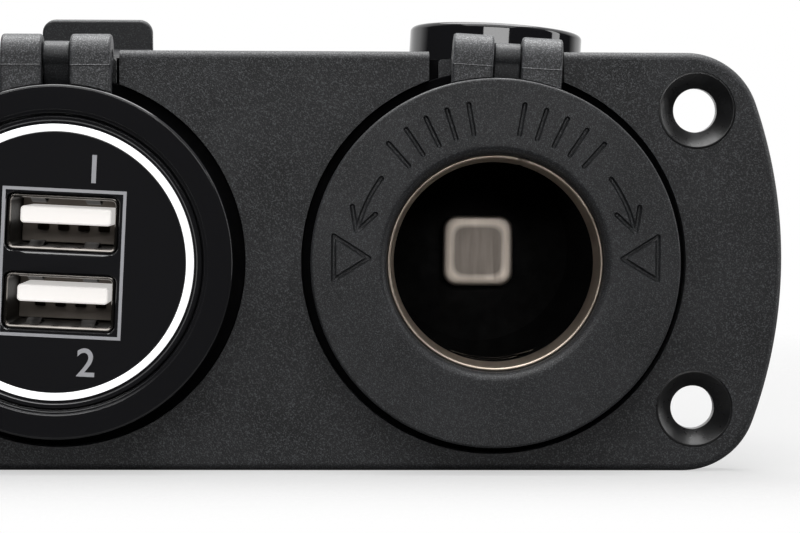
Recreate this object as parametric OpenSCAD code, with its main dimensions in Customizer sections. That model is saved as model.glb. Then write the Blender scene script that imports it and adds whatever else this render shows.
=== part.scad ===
// Two-outlet vehicle power panel: a 12 volt plug socket and a twin charging outlet, each with
// a hinged lid. X runs along the panel, -Y faces the user and +Z is up.
// The origin is the centre of the four-screw pattern on the panel's back face.

/* [Panel] */
// Half the length of the panel, to the crown of its bowed end
panel_half_l = 54.2; // [54:0.1:56]
// Height of the panel
panel_h = 44.9; // [44.5:0.1:48]
// Thickness of the panel
panel_t = 3.0; // [3:0.1:3.4]
// Radius of the four corners
corner_r = 8.0; // [6:0.5:10]
// Radius that the two ends are bowed to
end_bow_r = 51.0; // [45:1:70]
// Screw spacing along the panel
screw_span_x = 89.7; // [89.5:0.1:91]
// Screw spacing up the panel
screw_span_z = 32.0; // [30:0.1:33]
// Diameter of the screw holes
screw_hole_d = 4.7; // [4.2:0.1:5]
// Diameter of the countersinks at the front face
countersink_d = 7.8; // [7:0.1:8.4]
// How far the outlet axes lie under the centre of the screw pattern
axis_drop = 0.3; // [0:0.1:0.6]
// Width of the notch that each hinge passes through
notch_w = 14.4; // [14.4:0.1:15]

/* [Outlets] */
// Distance between the two outlet axes
outlet_pitch = 46.4; // [46:0.1:47]
// Radius of the socket's flange
flange_r = 19.55; // [19:0.05:19.6]
// Radius of the charger's bezel
bezel_r = 18.7; // [18.2:0.1:19]
// Thickness of both flanges
flange_t = 2.0; // [1.8:0.1:2.2]
// Radius of the threaded barrels
barrel_r = 14.0; // [13.8:0.1:14]

/* [Socket] */
// Radius of the plug bore
bore_r = 10.7; // [10.5:0.05:10.8]
// Radius of the flared metal lip
lip_r = 11.2; // [11.1:0.05:11.3]
// Depth of the bore from the lip to the insulator
bore_depth = 36.0; // [34:0.5:37]
// Side of the square centre contact
contact_w = 8.4; // [7:0.1:9]
// How far the centre contact travels
contact_travel = 1.5; // [1:0.1:1.5]
// Turn of the socket's hinge collar about its axis, clockwise from the front
collar_turn = 3.3; // [0:0.1:3.3]

/* [Charger] */
// Width of one port window
port_w = 12.2; // [12:0.1:12.6]
// Height of one port window
port_h = 6.0; // [5.8:0.1:6.4]
// Distance between the two ports
port_pitch = 8.3; // [8:0.1:8.6]
// Turn of the port block about its axis, clockwise from the front
port_turn = 2.6; // [0:0.1:3]
// Outer radius of the light ring
ring_r_out = 14.7; // [14.5:0.1:15]
// Inner radius of the light ring
ring_r_in = 13.85; // [13.6:0.05:14]

/* [Lids] */
// Radius of both lids
lid_r = 18.6; // [18:0.1:18.7]
// Thickness of a lid's plate
lid_t = 1.8; // [1.6:0.1:1.8]
// Radius of the plug inside the socket's lid
plug_r = 9.9; // [9:0.1:9.9]
// Angle past level at which the open socket lid hangs
socket_lid_droop = 3; // [0:1:3]
// Angle above level at which the open charger lid rests
charger_lid_rise = 8; // [0:1:8]

/* [Hidden] */
$fn = 96;
fine_fn = 48;
hull_fn = 32;
slack = 0.05;
over = 0.5;

// Depths along Y, front face first
front_y = -panel_t;
gasket_t = 0.6;
collar_t = 1.2;
collar_y = front_y - gasket_t - collar_t;
flange_y = collar_y - flange_t;
edge_round = 0.6;
panel_hole_r = barrel_r + 0.4;
socket_notch_x = 0.2;
charger_notch_x = -0.7;

// Hinge line, measured from an outlet's axis
hinge_y = -3.45;
hinge_h = 21.9;
knuckle_r = 2.2;
knuckle_w = 4.3;
knuckle_gap = 3.0;
pin_r = 0.6;
eye_r = 1.45;
eye_w = 2.6;
lid_gap = 0.05;
lid_in_n = flange_y - lid_gap - hinge_y;
lid_out_n = lid_in_n - lid_t;
lid_flat_u = 5.2;
tab_w = 13.5;
tab_gap = 0.3;
tab_wall = 1.4;
tab_end = 0.35;

// Socket depths
mouth_r = 12.3;
mouth_round = 1.3;
flange_edge = 0.25;
wall_r = lip_r + 0.3;
lip_y = flange_y + mouth_round;
shell_in_y = lip_y + bore_depth;
insulator_t = 3.0;
socket_end_y = shell_in_y + insulator_t;
contact_t = 1.0;
contact_stand = 3.2;
nut_t = 6.0;
nut_r = 16.0;
thread_pitch = 2.0;
thread_h = 0.5;
mark_d = 0.35;
guide_r = 2.2;
stem_r = 1.4;
spring_r = [3.6, 2.6];
spring_wire = 0.5;
terminal_t = 0.8;
terminal_z = 6.4;
gasket_r = 15.9;
collar_r = 18.2;
plug_reach = 5.0;

// Charger depths
cap_slot_z = 4.6;
face_y = flange_y + 0.4;
face_t = 1.6;
ring_back_y = face_y + face_t;
port_depth = 11.0;
port_wall = 0.35;
board_y = 14.0;
board_t = 1.6;
cap_y = 28.0;

module at_outlet(side) {
  translate([side * outlet_pitch / 2, 0, -axis_drop])
    children();
}

// Turns a profile drawn as [radius, y] about the outlet's axis
module lathe(points) {
  rotate([-90, 0, 0])
    rotate_extrude()
      polygon(points);
}

// A round bar along Y from y0 to y1
module bar_y(r, y0, y1) {
  translate([0, y0, 0])
    rotate([-90, 0, 0])
      cylinder(r = r, h = y1 - y0);
}

// A round bar along X, centred on X
module bar_x(r, w, y, z, fn = 48) {
  translate([-w / 2, y, z])
    rotate([0, 90, 0])
      cylinder(r = r, h = w, $fn = fn);
}

module block(x0, x1, y0, y1, z0, z1) {
  translate([x0, y0, z0])
    cube([x1 - x0, y1 - y0, z1 - z0]);
}

// The panel's outline: straight long edges, and bowed ends that run into the corners
module panel_outline(inset) {
  bow_steps = 12;
  corner_steps = 16;
  bow_x = panel_half_l - end_bow_r;
  corner_z = panel_h / 2 - corner_r;
  meet = asin(corner_z / (end_bow_r - corner_r));
  corner_x = bow_x + (end_bow_r - corner_r) * cos(meet);
  bow = [
    for (i = [0:bow_steps])
      let(a = meet * i / bow_steps)
        [bow_x, 0] + (end_bow_r - inset) * [cos(a), sin(a)]
  ];
  corner = [
    for (i = [1:corner_steps])
      let(a = meet + (90 - meet) * i / corner_steps)
        [corner_x, corner_z] + (corner_r - inset) * [cos(a), sin(a)]
  ];
  right = concat(bow, corner);
  upper = concat(right, [for (i = [len(right) - 1:-1:0]) [-right[i][0], right[i][1]]]);
  lower = [for (i = [len(upper) - 2:-1:1]) [upper[i][0], -upper[i][1]]];
  polygon(concat(upper, lower));
}

// The plate, whose front edge is rounded in a few steps
module panel_plate() {
  steps = 4;
  translate([0, 0, -axis_drop])
    rotate([90, 0, 0])
      hull()
        for (i = [0:steps])
          linear_extrude(height = panel_t - edge_round * (1 - sin(90 * i / steps)))
            panel_outline(edge_round * (1 - cos(90 * i / steps)));
}

module screw_holes() {
  sink_depth = (countersink_d - screw_hole_d) / 2;
  for (x = [-1, 1], z = [-1, 1])
    translate([x * screw_span_x / 2, 0, z * screw_span_z / 2]) {
      bar_y(screw_hole_d / 2, front_y - over, over);
      translate([0, front_y - 0.01, 0])
        rotate([-90, 0, 0])
          cylinder(r1 = countersink_d / 2, r2 = screw_hole_d / 2, h = sink_depth);
    }
}

// The opening that one hinge passes through, with a low ledge left standing at the back
module hinge_notch(turn, x_mid) {
  floor_h = 16.8;
  ledge_h = 21.7;
  ledge_w = 11.8;
  ledge_t = 0.9;
  slot_w = 4.4;
  top_h = panel_h / 2 + over;
  difference() {
    block(x_mid - notch_w / 2, x_mid + notch_w / 2, front_y - over, over, floor_h, top_h);
    block(-ledge_w / 2, ledge_w / 2, -ledge_t, 2 * over, floor_h - over, ledge_h);
  }
  rotate([0, turn, 0])
    block(-slot_w / 2, slot_w / 2, front_y - over, over, panel_hole_r - over, top_h);
}

module panel() {
  color("#2d2e30")
    difference() {
      panel_plate();
      screw_holes();
      for (side = [-1, 1])
        at_outlet(side) {
          bar_y(panel_hole_r, front_y - over, over);
          if (side > 0)
            hinge_notch(collar_turn, socket_notch_x);
          else
            hinge_notch(0, charger_notch_x);
        }
    }
}

// Rings that stand for the barrel's coarse thread
module thread_rings(r, y0, y1) {
  for (y = [y0:thread_pitch:y1 - thread_pitch])
    lathe([
      [r - thread_h - 0.1, y],
      [r, y + 0.25 * thread_pitch],
      [r, y + 0.45 * thread_pitch],
      [r - thread_h - 0.1, y + 0.7 * thread_pitch]
    ]);
}

// A straight stroke of a drawn mark, from point p to point q
module stroke(p, q, w) {
  run = q - p;
  translate(p)
    rotate(atan2(run[1], run[0]))
      translate([-w / 2, -w / 2])
        square([norm(run) + w, w]);
}

// A curved-flange arrow that shows which way the plug turns
module arrow_cut(side) {
  tail = [side * 12.1, 8.9];
  tip = [side * 14.7, 3.4];
  wing_in = [side * 12.75, 5.2];
  wing_out = [side * 15.1, 6.1];
  translate([0, flange_y + mark_d, 0])
    rotate([90, 0, 0])
      linear_extrude(height = over + mark_d) {
        stroke(tail, tip, 0.7);
        stroke(wing_in, tip, 0.7);
        stroke(wing_out, tip, 0.7);
      }
}

// An outlined triangle that points at the bore
module triangle_cut(side) {
  tri_in = 13.45;
  tri_out = 17.1;
  tri_half = 2.25;
  stroke = 0.45;
  translate([0, flange_y + mark_d, 0])
    rotate([90, 0, 0])
      linear_extrude(height = over + mark_d)
        difference() {
          polygon([
            [side * tri_in, 0],
            [side * tri_out, tri_half],
            [side * tri_out, -tri_half]
          ]);
          polygon([
            [side * (tri_in + 2.2 * stroke), 0],
            [side * (tri_out - stroke), tri_half - 1.7 * stroke],
            [side * (tri_out - stroke), -tri_half + 1.7 * stroke]
          ]);
        }
}

// Plain graduation marks in two groups over the bore
module tick_cuts() {
  tick_l = 3.2;
  tick_w = 0.6;
  tick_r = 15.4;
  for (group = [-1, 1], i = [0:4])
    rotate([0, group * (10 + 8 * i), 0])
      block(-tick_w / 2, tick_w / 2, flange_y - over, flange_y + mark_d,
        tick_r - tick_l / 2, tick_r + tick_l / 2);
}

module socket_housing() {
  steps = 6;
  color("#2c2d2f")
    at_outlet(1)
      difference() {
        union() {
          lathe(concat(
            [[wall_r, lip_y], [wall_r, socket_end_y]],
            [[barrel_r - thread_h, socket_end_y], [barrel_r - thread_h, collar_y]],
            [[flange_r, collar_y], [flange_r, flange_y + flange_edge]],
            [[flange_r - flange_edge, flange_y]],
            [for (i = [0:steps]) [
              mouth_r - (mouth_r - wall_r) * sin(90 * i / steps),
              flange_y + mouth_round * (1 - cos(90 * i / steps))
            ]]
          ));
          thread_rings(barrel_r, over, socket_end_y);
        }
        for (side = [-1, 1]) {
          arrow_cut(side);
          triangle_cut(side);
        }
        tick_cuts();
      }
}

// The metal lining of the bore, with a wider seat at its bottom round the contact
module socket_shell() {
  lip_l = 3.2;
  seat_r = bore_r + 0.25;
  seat_y = shell_in_y - contact_stand - 0.3;
  color("#9c9288")
    at_outlet(1)
      difference() {
        lathe([
          [bore_r, lip_y + lip_l],
          [lip_r - 0.1, lip_y + 0.15],
          [lip_r, lip_y],
          [wall_r - slack, lip_y],
          [wall_r - slack, lip_y + lip_l],
          [wall_r - slack, shell_in_y - slack],
          [seat_r, shell_in_y - slack],
          [seat_r, seat_y],
          [bore_r, seat_y]
        ]);
        for (a = [-14, 14])
          rotate([0, 180 + a, 0])
            block(-0.9, 0.9, lip_y + 5, lip_y + 8, bore_r - 1, wall_r - slack + 1);
      }
}

module socket_insulator() {
  color("#1a1a1b")
    at_outlet(1)
      difference() {
        bar_y(wall_r - slack, shell_in_y, socket_end_y);
        bar_y(guide_r + slack, shell_in_y - over, socket_end_y + over);
      }
}

// The sprung contact: a square cap with a chamfered rim on a round stem
module center_contact() {
  rim = 0.9;
  cap_y0 = shell_in_y - contact_stand;
  color("#a39a90")
    at_outlet(1) {
      translate([0, cap_y0 + contact_t, 0])
        rotate([90, 0, 0]) {
          linear_extrude(height = contact_t / 2)
            rounded_square(contact_w, 1.3);
          translate([0, 0, contact_t / 2 - 0.01])
            linear_extrude(height = contact_t / 2 + 0.01)
              rounded_square(contact_w - rim, 1.0);
        }
      bar_y(stem_r, cap_y0 + contact_t - 0.1, socket_end_y - 1);
    }
}

module rounded_square(w, r) {
  square([w, w - 2 * r], center = true);
  square([w - 2 * r, w], center = true);
  for (x = [-1, 1], y = [-1, 1])
    translate([x * (w / 2 - r), y * (w / 2 - r)])
      circle(r = r, $fn = fine_fn);
}

// A cone of turns round the contact's stem, which lies flat when it is pressed
module contact_spring() {
  turns = len(spring_r);
  y0 = shell_in_y - contact_stand + contact_t;
  pitch = (contact_stand - contact_t) / turns;
  color("#b9b4aa")
    at_outlet(1)
      for (i = [0:turns - 1])
        translate([0, y0 + (i + 0.5) * pitch, 0])
          rotate([-90, 0, 0])
            rotate_extrude()
              translate([spring_r[i], 0])
                square(spring_wire, center = true);
}

// The riveted sleeve that guides the contact's stem and carries its terminal
module contact_rivet() {
  head_t = 0.8;
  head_r = guide_r + 1.2;
  color("#b8a05a")
    at_outlet(1)
      difference() {
        union() {
          bar_y(guide_r, shell_in_y + slack, socket_end_y + terminal_t + head_t);
          bar_y(head_r, socket_end_y + terminal_t, socket_end_y + terminal_t + head_t);
        }
        bar_y(stem_r + slack, shell_in_y - over, socket_end_y - 1 + contact_travel + slack);
      }
}

// A flat blade terminal that stands off the back, at height z
module blade(x, z, y0, hole_r) {
  foot_l = 5.6;
  blade_w = 6.3;
  blade_l = 9.0;
  dir = z < 0 ? -1 : 1;
  difference() {
    union() {
      block(x - blade_w / 2, x + blade_w / 2, y0, y0 + terminal_t,
        min(z, z - dir * foot_l), max(z, z - dir * foot_l));
      block(x - blade_w / 2, x + blade_w / 2, y0, y0 + blade_l,
        min(z, z + dir * terminal_t), max(z, z + dir * terminal_t));
    }
    translate([x, 0, z + dir * terminal_t / 2])
      cylinder(r = 0.9, h = 3 * terminal_t, center = true, $fn = fine_fn);
    bar_y(hole_r, y0 - over, y0 + terminal_t + over);
  }
}

module positive_terminal() {
  color("#c9c4b8")
    at_outlet(1)
      blade(0, terminal_z, socket_end_y, guide_r + slack);
}

module negative_terminal() {
  color("#c9c4b8")
    at_outlet(1)
      blade(0, -terminal_z - 1.2, socket_end_y, guide_r + 2);
}

module ring_gasket(side) {
  color("#141415")
    at_outlet(side)
      lathe([
        [barrel_r + slack, collar_y + collar_t],
        [gasket_r, collar_y + collar_t],
        [gasket_r, front_y],
        [barrel_r + slack, front_y]
      ]);
}

module socket_gasket() {
  ring_gasket(1);
}

module charger_gasket() {
  ring_gasket(-1);
}

// The ribbed ring nut that clamps the barrel from behind the panel
module ring_nut(side) {
  rib_count = 24;
  color("#26272a")
    at_outlet(side)
      difference() {
        bar_y(nut_r, 0, nut_t);
        bar_y(barrel_r + slack, -over, nut_t + over);
        for (i = [0:rib_count - 1])
          rotate([0, 360 * i / rib_count, 0])
            block(-0.6, 0.6, 1.2, nut_t + over, nut_r - 0.5, nut_r + 1);
      }
}

module socket_nut() {
  ring_nut(1);
}

module charger_nut() {
  ring_nut(-1);
}

// The collar under a flange, with two hooked knuckles that hold the hinge pin
module hinge_collar(side) {
  strap_h = 16.5;
  x_in = knuckle_gap / 2;
  color("#303133")
    at_outlet(side)
      rotate([0, side > 0 ? collar_turn : 0, 0])
        difference() {
          union() {
            bar_y(collar_r, collar_y, collar_y + collar_t);
            for (x = [-1, 1]) {
              x_mid = x * (x_in + knuckle_w / 2);
              translate([x_mid, 0, 0]) {
                bar_x(knuckle_r, knuckle_w, hinge_y, hinge_h);
                block(-knuckle_w / 2, knuckle_w / 2, collar_y, collar_y + collar_t, strap_h, hinge_h);
              }
            }
          }
          bar_y(barrel_r + slack, collar_y - over, collar_y + collar_t + over);
          bar_x(pin_r, 4 * knuckle_w, hinge_y, hinge_h);
        }
}

module socket_collar() {
  hinge_collar(1);
}

module charger_collar() {
  hinge_collar(-1);
}

module hinge_pin(side) {
  color("#8f9092")
    at_outlet(side)
      rotate([0, side > 0 ? collar_turn : 0, 0])
        bar_x(pin_r - 0.01, knuckle_gap + 2 * knuckle_w - 0.4, hinge_y, hinge_h);
}

module socket_hinge_pin() {
  hinge_pin(1);
}

module charger_hinge_pin() {
  hinge_pin(-1);
}

// Places a lid drawn in its closed place, turned open about its hinge line
module opened(side, angle) {
  at_outlet(side)
    rotate([0, side > 0 ? collar_turn : 0, 0])
      translate([0, hinge_y, hinge_h])
        rotate([-angle, 0, 0])
          translate([0, -hinge_y, -hinge_h])
            children();
}

// The thumb tab's lip, which reaches back past the flange's edge and has round ends
module lid_tab(z0, z1, y0, y1) {
  corner = 1.6;
  translate([0, 0, z0])
    linear_extrude(height = z1 - z0)
      difference() {
        translate([-tab_w / 2, y0])
          square([tab_w, y1 - y0]);
        for (x = [-1, 1])
          translate([x * (tab_w / 2 - corner), y1 - corner])
            difference() {
              translate([x > 0 ? 0 : -2 * corner, 0])
                square(2 * corner);
              circle(r = corner, $fn = fine_fn);
            }
      }
}

// A lid as it lies when shut: a round plate, a thumb tab and the hinge finger
module lid_plate() {
  edge = 0.4;
  tab_in = flange_r + tab_gap;
  y0 = hinge_y + lid_out_n;
  y1 = hinge_y + lid_in_n;
  flat_h = hinge_h - lid_flat_u;
  elbow_r = 0.9;
  elbow_y = hinge_y + lid_in_n - elbow_r;
  elbow_h = hinge_h - 1.9;
  difference() {
    union() {
      bar_y(lid_r, y0 + edge, y1);
      bar_y(lid_r - edge, y0, y1);
      block(-tab_w / 2, tab_w / 2, y0 + edge, y1, -tab_in - tab_wall, 0);
      lid_tab(-tab_in - tab_wall, -tab_in, y0 + edge, front_y - tab_end);
    }
    block(-lid_r, lid_r, y0 - over, y1 + over, flat_h, lid_r + over);
  }
  difference() {
    union() {
      bar_x(eye_r, eye_w, hinge_y, hinge_h);
      hull() {
        bar_x(elbow_r, eye_w, elbow_y, elbow_h, hull_fn);
        bar_x(elbow_r, eye_w, hinge_y - 0.5, hinge_h + 0.4, hull_fn);
      }
      hull() {
        bar_x(elbow_r, eye_w, elbow_y, elbow_h, hull_fn);
        bar_x(elbow_r, eye_w, elbow_y, flat_h - 0.8, hull_fn);
      }
    }
    bar_x(pin_r + slack, 2 * eye_w, hinge_y, hinge_h);
  }
}

module socket_lid() {
  color("#2b2c2e")
    opened(1, 270 + socket_lid_droop)
      lid_plate();
}

// The hollow plug that seals the bore when the lid is shut
module socket_lid_plug() {
  plug_wall = 1.4;
  tip = 0.8;
  y0 = hinge_y + lid_in_n + slack;
  y1 = hinge_y + plug_reach;
  color("#55565a")
    opened(1, 270 + socket_lid_droop)
      lathe([
        [0, y0],
        [plug_r, y0],
        [plug_r, y1 - tip],
        [plug_r - 0.25 * tip, y1 - 0.25 * tip],
        [plug_r - tip, y1],
        [plug_r - plug_wall, y1 - 0.2],
        [plug_r - plug_wall, y0 + 1.2],
        [0, y0 + 1.2]
      ]);
}

module charger_lid() {
  color("#2b2c2e")
    opened(-1, 270 - charger_lid_rise)
      lid_plate();
}

// The soft pad that lies over the two ports when the lid is shut
module charger_lid_pad() {
  pad_w = 13.4;
  pad_h = 15.2;
  pad_t = 0.35;
  y0 = hinge_y + lid_in_n + 0.01;
  color("#202123")
    opened(-1, 270 - charger_lid_rise)
      block(-pad_w / 2, pad_w / 2, y0, y0 + pad_t, -pad_h / 2, pad_h / 2);
}

module charger_housing() {
  step_r = ring_r_out + 0.9;
  inner_r = barrel_r - 1.8;
  color("#1b1b1c")
    at_outlet(-1)
      union() {
        lathe([
          [inner_r, ring_back_y + slack],
          [inner_r, cap_y],
          [barrel_r - thread_h, cap_y],
          [barrel_r - thread_h, collar_y],
          [bezel_r, collar_y],
          [bezel_r, flange_y + flange_edge],
          [bezel_r - flange_edge, flange_y],
          [step_r + 0.6, flange_y],
          [step_r + 0.35, flange_y + 0.25],
          [step_r, flange_y + 0.25],
          [step_r, ring_back_y + slack]
        ]);
        thread_rings(barrel_r, over, cap_y);
      }
}

// Places what belongs to the ports, which sit slightly turned in the charger
module at_ports() {
  at_outlet(-1)
    rotate([0, port_turn, 0])
      children();
}

module port_window(z) {
  rotate([0, port_turn, 0])
    block(-port_w / 2, port_w / 2, face_y - over, ring_back_y + over, z - port_h / 2, z + port_h / 2);
}

module charger_face() {
  color("#18181a")
    at_outlet(-1)
      difference() {
        union() {
          bar_y(ring_r_in - slack, face_y, ring_back_y);
          bar_y(ring_r_out + 0.8, ring_back_y - 0.6, ring_back_y);
        }
        for (z = [-1, 1])
          port_window(z * port_pitch / 2);
      }
}

module light_ring() {
  color("#f4f6fb")
    at_outlet(-1)
      lathe([
        [ring_r_in, face_y - 0.05],
        [ring_r_out, face_y - 0.05],
        [ring_r_out, ring_back_y - 0.65],
        [ring_r_in, ring_back_y - 0.65]
      ]);
}

module port_shell(z) {
  w = port_w - 2 * slack;
  h = port_h - 2 * slack;
  color("#8d8782")
    at_ports()
      difference() {
        block(-w / 2, w / 2, face_y + 0.5, face_y + port_depth, z - h / 2, z + h / 2);
        block(-w / 2 + port_wall, w / 2 - port_wall, face_y, face_y + port_depth - port_wall,
          z - h / 2 + port_wall, z + h / 2 - port_wall);
      }
}

module port_shell_upper() {
  port_shell(port_pitch / 2);
}

module port_shell_lower() {
  port_shell(-port_pitch / 2);
}

module port_tongue(z) {
  tongue_w = 10.2;
  tongue_h = 1.9;
  tongue_up = 0.75;
  color("#f2eeec")
    at_ports()
      block(-tongue_w / 2 + 0.2, tongue_w / 2 + 0.2, face_y + 1.4, face_y + port_depth - port_wall - slack,
        z + tongue_up - tongue_h / 2, z + tongue_up + tongue_h / 2);
}

module port_tongue_upper() {
  port_tongue(port_pitch / 2);
}

module port_tongue_lower() {
  port_tongue(-port_pitch / 2);
}

module port_contacts(z) {
  contact_h = 0.3;
  under = z + 0.75 - 0.95 - contact_h - 0.01;
  color("#c8a64e")
    at_ports()
      for (i = [-1.5:1:1.5])
        block(i * 2.3 - 0.5, i * 2.3 + 0.5, face_y + 2.2, face_y + 9.0, under, under + contact_h);
}

module port_contacts_upper() {
  port_contacts(port_pitch / 2);
}

module port_contacts_lower() {
  port_contacts(-port_pitch / 2);
}

module circuit_board() {
  board_w = 19.0;
  board_h = 11.0;
  color("#1f5a36")
    at_outlet(-1)
      block(-board_w / 2, board_w / 2, board_y, board_y + board_t, -board_h / 2, board_h / 2);
}

module board_coil() {
  coil_w = 5.4;
  color("#3a3a3c")
    at_outlet(-1)
      block(-7.6, -7.6 + coil_w, board_y + board_t, board_y + board_t + 4.0, -coil_w / 2, coil_w / 2);
}

module board_capacitors() {
  can_r = 1.9;
  color("#6f7378")
    at_outlet(-1)
      for (z = [-1, 1])
        translate([5.6, 0, z * 2.6])
          bar_y(can_r, board_y + board_t, board_y + board_t + 7.0);
}

module board_chip() {
  color("#19191b")
    at_outlet(-1)
      block(-1.2, 2.6, board_y + board_t, board_y + board_t + 1.4, -1.9, 1.9);
}

// Four small lamps that feed the light ring
module ring_lamps() {
  lamp_w = 1.4;
  lamp_t = 1.0;
  lamp_r = 11.3;
  color("#e9e6cf")
    at_outlet(-1)
      for (a = [45:90:315])
        rotate([0, a, 0])
          block(-lamp_w / 2, lamp_w / 2, ring_back_y, ring_back_y + lamp_t, lamp_r - lamp_w / 2, lamp_r + lamp_w / 2);
}

module charger_rear_cap() {
  cap_t = 2.0;
  slot_w = 6.5;
  color("#232426")
    at_outlet(-1)
      difference() {
        union() {
          bar_y(barrel_r - thread_h, cap_y, cap_y + cap_t);
          bar_y(barrel_r - 1.8 - slack, cap_y - 2, cap_y + cap_t);
        }
        for (z = [-1, 1])
          block(-slot_w / 2, slot_w / 2, cap_y - 2 - over, cap_y + cap_t + over,
            z * cap_slot_z - 0.5, z * cap_slot_z + 0.5);
      }
}

// A straight blade that passes through the rear cap, held by a shoulder inside
module cap_blade(z) {
  blade_w = 6.3;
  color("#c9c4b8")
    at_outlet(-1)
      difference() {
        block(-blade_w / 2, blade_w / 2, board_y + board_t, cap_y + 2 + 8, z - 0.4, z + 0.4);
        translate([0, cap_y + 2 + 5.5, z])
          cylinder(r = 0.9, h = 3, center = true, $fn = fine_fn);
      }
}

module charger_positive_terminal() {
  cap_blade(cap_slot_z);
}

module charger_negative_terminal() {
  cap_blade(-cap_slot_z);
}

panel();
socket_housing();
socket_shell();
socket_insulator();
center_contact();
contact_spring();
contact_rivet();
positive_terminal();
negative_terminal();
socket_gasket();
socket_nut();
socket_collar();
socket_hinge_pin();
socket_lid();
socket_lid_plug();
charger_housing();
charger_face();
light_ring();
port_shell_upper();
port_shell_lower();
port_tongue_upper();
port_tongue_lower();
port_contacts_upper();
port_contacts_lower();
circuit_board();
board_coil();
board_capacitors();
board_chip();
ring_lamps();
charger_rear_cap();
charger_positive_terminal();
charger_negative_terminal();
charger_gasket();
charger_nut();
charger_collar();
charger_hinge_pin();
charger_lid();
charger_lid_pad();
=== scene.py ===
"""Looks of a twin vehicle power outlet panel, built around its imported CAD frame.

Sizes are in millimetres, in an outlet's own frame where that is simpler, and become metres in
the shared frame when a piece is finished. X runs along the panel, -Y faces the user, +Z is up.
"""

import logging
import math
from collections.abc import Callable, Sequence
from dataclasses import dataclass
from enum import Enum

import bmesh
import bpy
import numpy as np
from mathutils import Matrix, Vector


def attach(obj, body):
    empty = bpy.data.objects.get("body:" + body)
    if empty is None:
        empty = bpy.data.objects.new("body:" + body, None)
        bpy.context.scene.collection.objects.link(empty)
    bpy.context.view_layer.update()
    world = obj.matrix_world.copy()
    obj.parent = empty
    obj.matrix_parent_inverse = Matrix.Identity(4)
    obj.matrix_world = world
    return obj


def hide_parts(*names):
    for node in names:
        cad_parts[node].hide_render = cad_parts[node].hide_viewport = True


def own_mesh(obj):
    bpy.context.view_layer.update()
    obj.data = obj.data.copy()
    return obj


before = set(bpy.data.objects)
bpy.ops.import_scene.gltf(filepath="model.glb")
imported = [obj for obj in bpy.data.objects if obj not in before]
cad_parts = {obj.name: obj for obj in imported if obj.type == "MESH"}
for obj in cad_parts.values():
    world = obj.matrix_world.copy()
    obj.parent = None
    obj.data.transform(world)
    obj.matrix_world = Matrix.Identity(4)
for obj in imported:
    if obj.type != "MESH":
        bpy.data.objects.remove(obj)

LOG = logging.getLogger("outlet_panel")
MM = 0.001
FULL_TURN = 2.0 * math.pi
WHITE = (1, 1, 1, 1)
Mesh = bpy.types.Mesh
Tree = bpy.types.NodeTree
Output = bpy.types.NodeSocket
Triple = tuple[float, float, float]


class Body(Enum):
    """The moving bodies that a piece can ride on."""

    ROOT = "root"
    SOCKET_LID = "socket_lid"
    CHARGER_LID = "charger_lid"
    CONTACT = "contact"


class Side(Enum):
    """The two outlets, by the sign of their place along the panel."""

    CHARGER = -1
    SOCKET = 1

    def pick(self, charger: object, socket: object) -> object:
        """Whichever of two values belongs to this outlet."""
        return socket if self is Side.SOCKET else charger


def fillet(corners: Sequence[tuple[float, ...]], steps: int = 6) -> np.ndarray:
    """Rounds the corners of a closed polygon.

    Each corner keeps the arc of its radius that touches both its edges: the arc's centre lies on
    the corner's bisector at radius / sin(half angle), and the arc is swept evenly.

    Args:
        corners: (a, b) or (a, b, radius) for each corner, in order.
        steps: Spans along each arc.

    Returns:
        The rounded polygon's points, one row each.
    """
    points = np.array([c[:2] for c in corners], float)
    radii = [c[2] if len(c) > 2 else 0.0 for c in corners]
    out = []
    for i, radius in enumerate(radii):
        here, before, after = points[i], points[i - 1], points[(i + 1) % len(points)]
        u, v = before - here, after - here
        lu, lv = np.linalg.norm(u), np.linalg.norm(v)
        u, v = u / lu, v / lv
        cosine = float(np.clip(u @ v, -1, 1))
        if radius <= 0 or cosine < -0.9999:
            out.append(here[None])
            continue
        half = math.acos(cosine) / 2
        reach = min(radius / math.tan(half), 0.48 * min(lu, lv))
        radius = reach * math.tan(half)
        bisector = (u + v) / np.linalg.norm(u + v)
        centre = here + bisector * radius / math.sin(half)
        start, end = here + u * reach - centre, here + v * reach - centre
        turn = math.atan2(start[0] * end[1] - start[1] * end[0], start @ end)
        angle = np.linspace(0, turn, steps + 1)[:, None]
        side = np.array([-start[1], start[0]])
        out.append(centre + start * np.cos(angle) + side * np.sin(angle))
    return np.concatenate(out)


def rounded_rectangle(width: float, height: float, radius: float, steps: int = 8) -> np.ndarray:
    """A rectangle about the origin with four equal round corners.

    Args:
        width: Its size along the first axis.
        height: Its size along the second axis.
        radius: The corners' radius.
        steps: Spans along each corner.

    Returns:
        The outline's points.
    """
    x, y = width / 2, height / 2
    return fillet([(x, -y, radius), (x, y, radius), (-x, y, radius), (-x, -y, radius)], steps)


def offset(outline: np.ndarray, inset: float) -> np.ndarray:
    """Moves each point of a closed outline inwards along its normal.

    The normal is the chord between a point's neighbours, turned by a quarter.

    Args:
        outline: Points in order, counter-clockwise.
        inset: How far inwards, in millimetres.

    Returns:
        The moved points.
    """
    chord = np.roll(outline, -1, 0) - np.roll(outline, 1, 0)
    chord /= np.maximum(np.linalg.norm(chord, axis=1, keepdims=True), 1e-9)
    return outline + inset * np.stack([-chord[:, 1], chord[:, 0]], 1)


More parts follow.
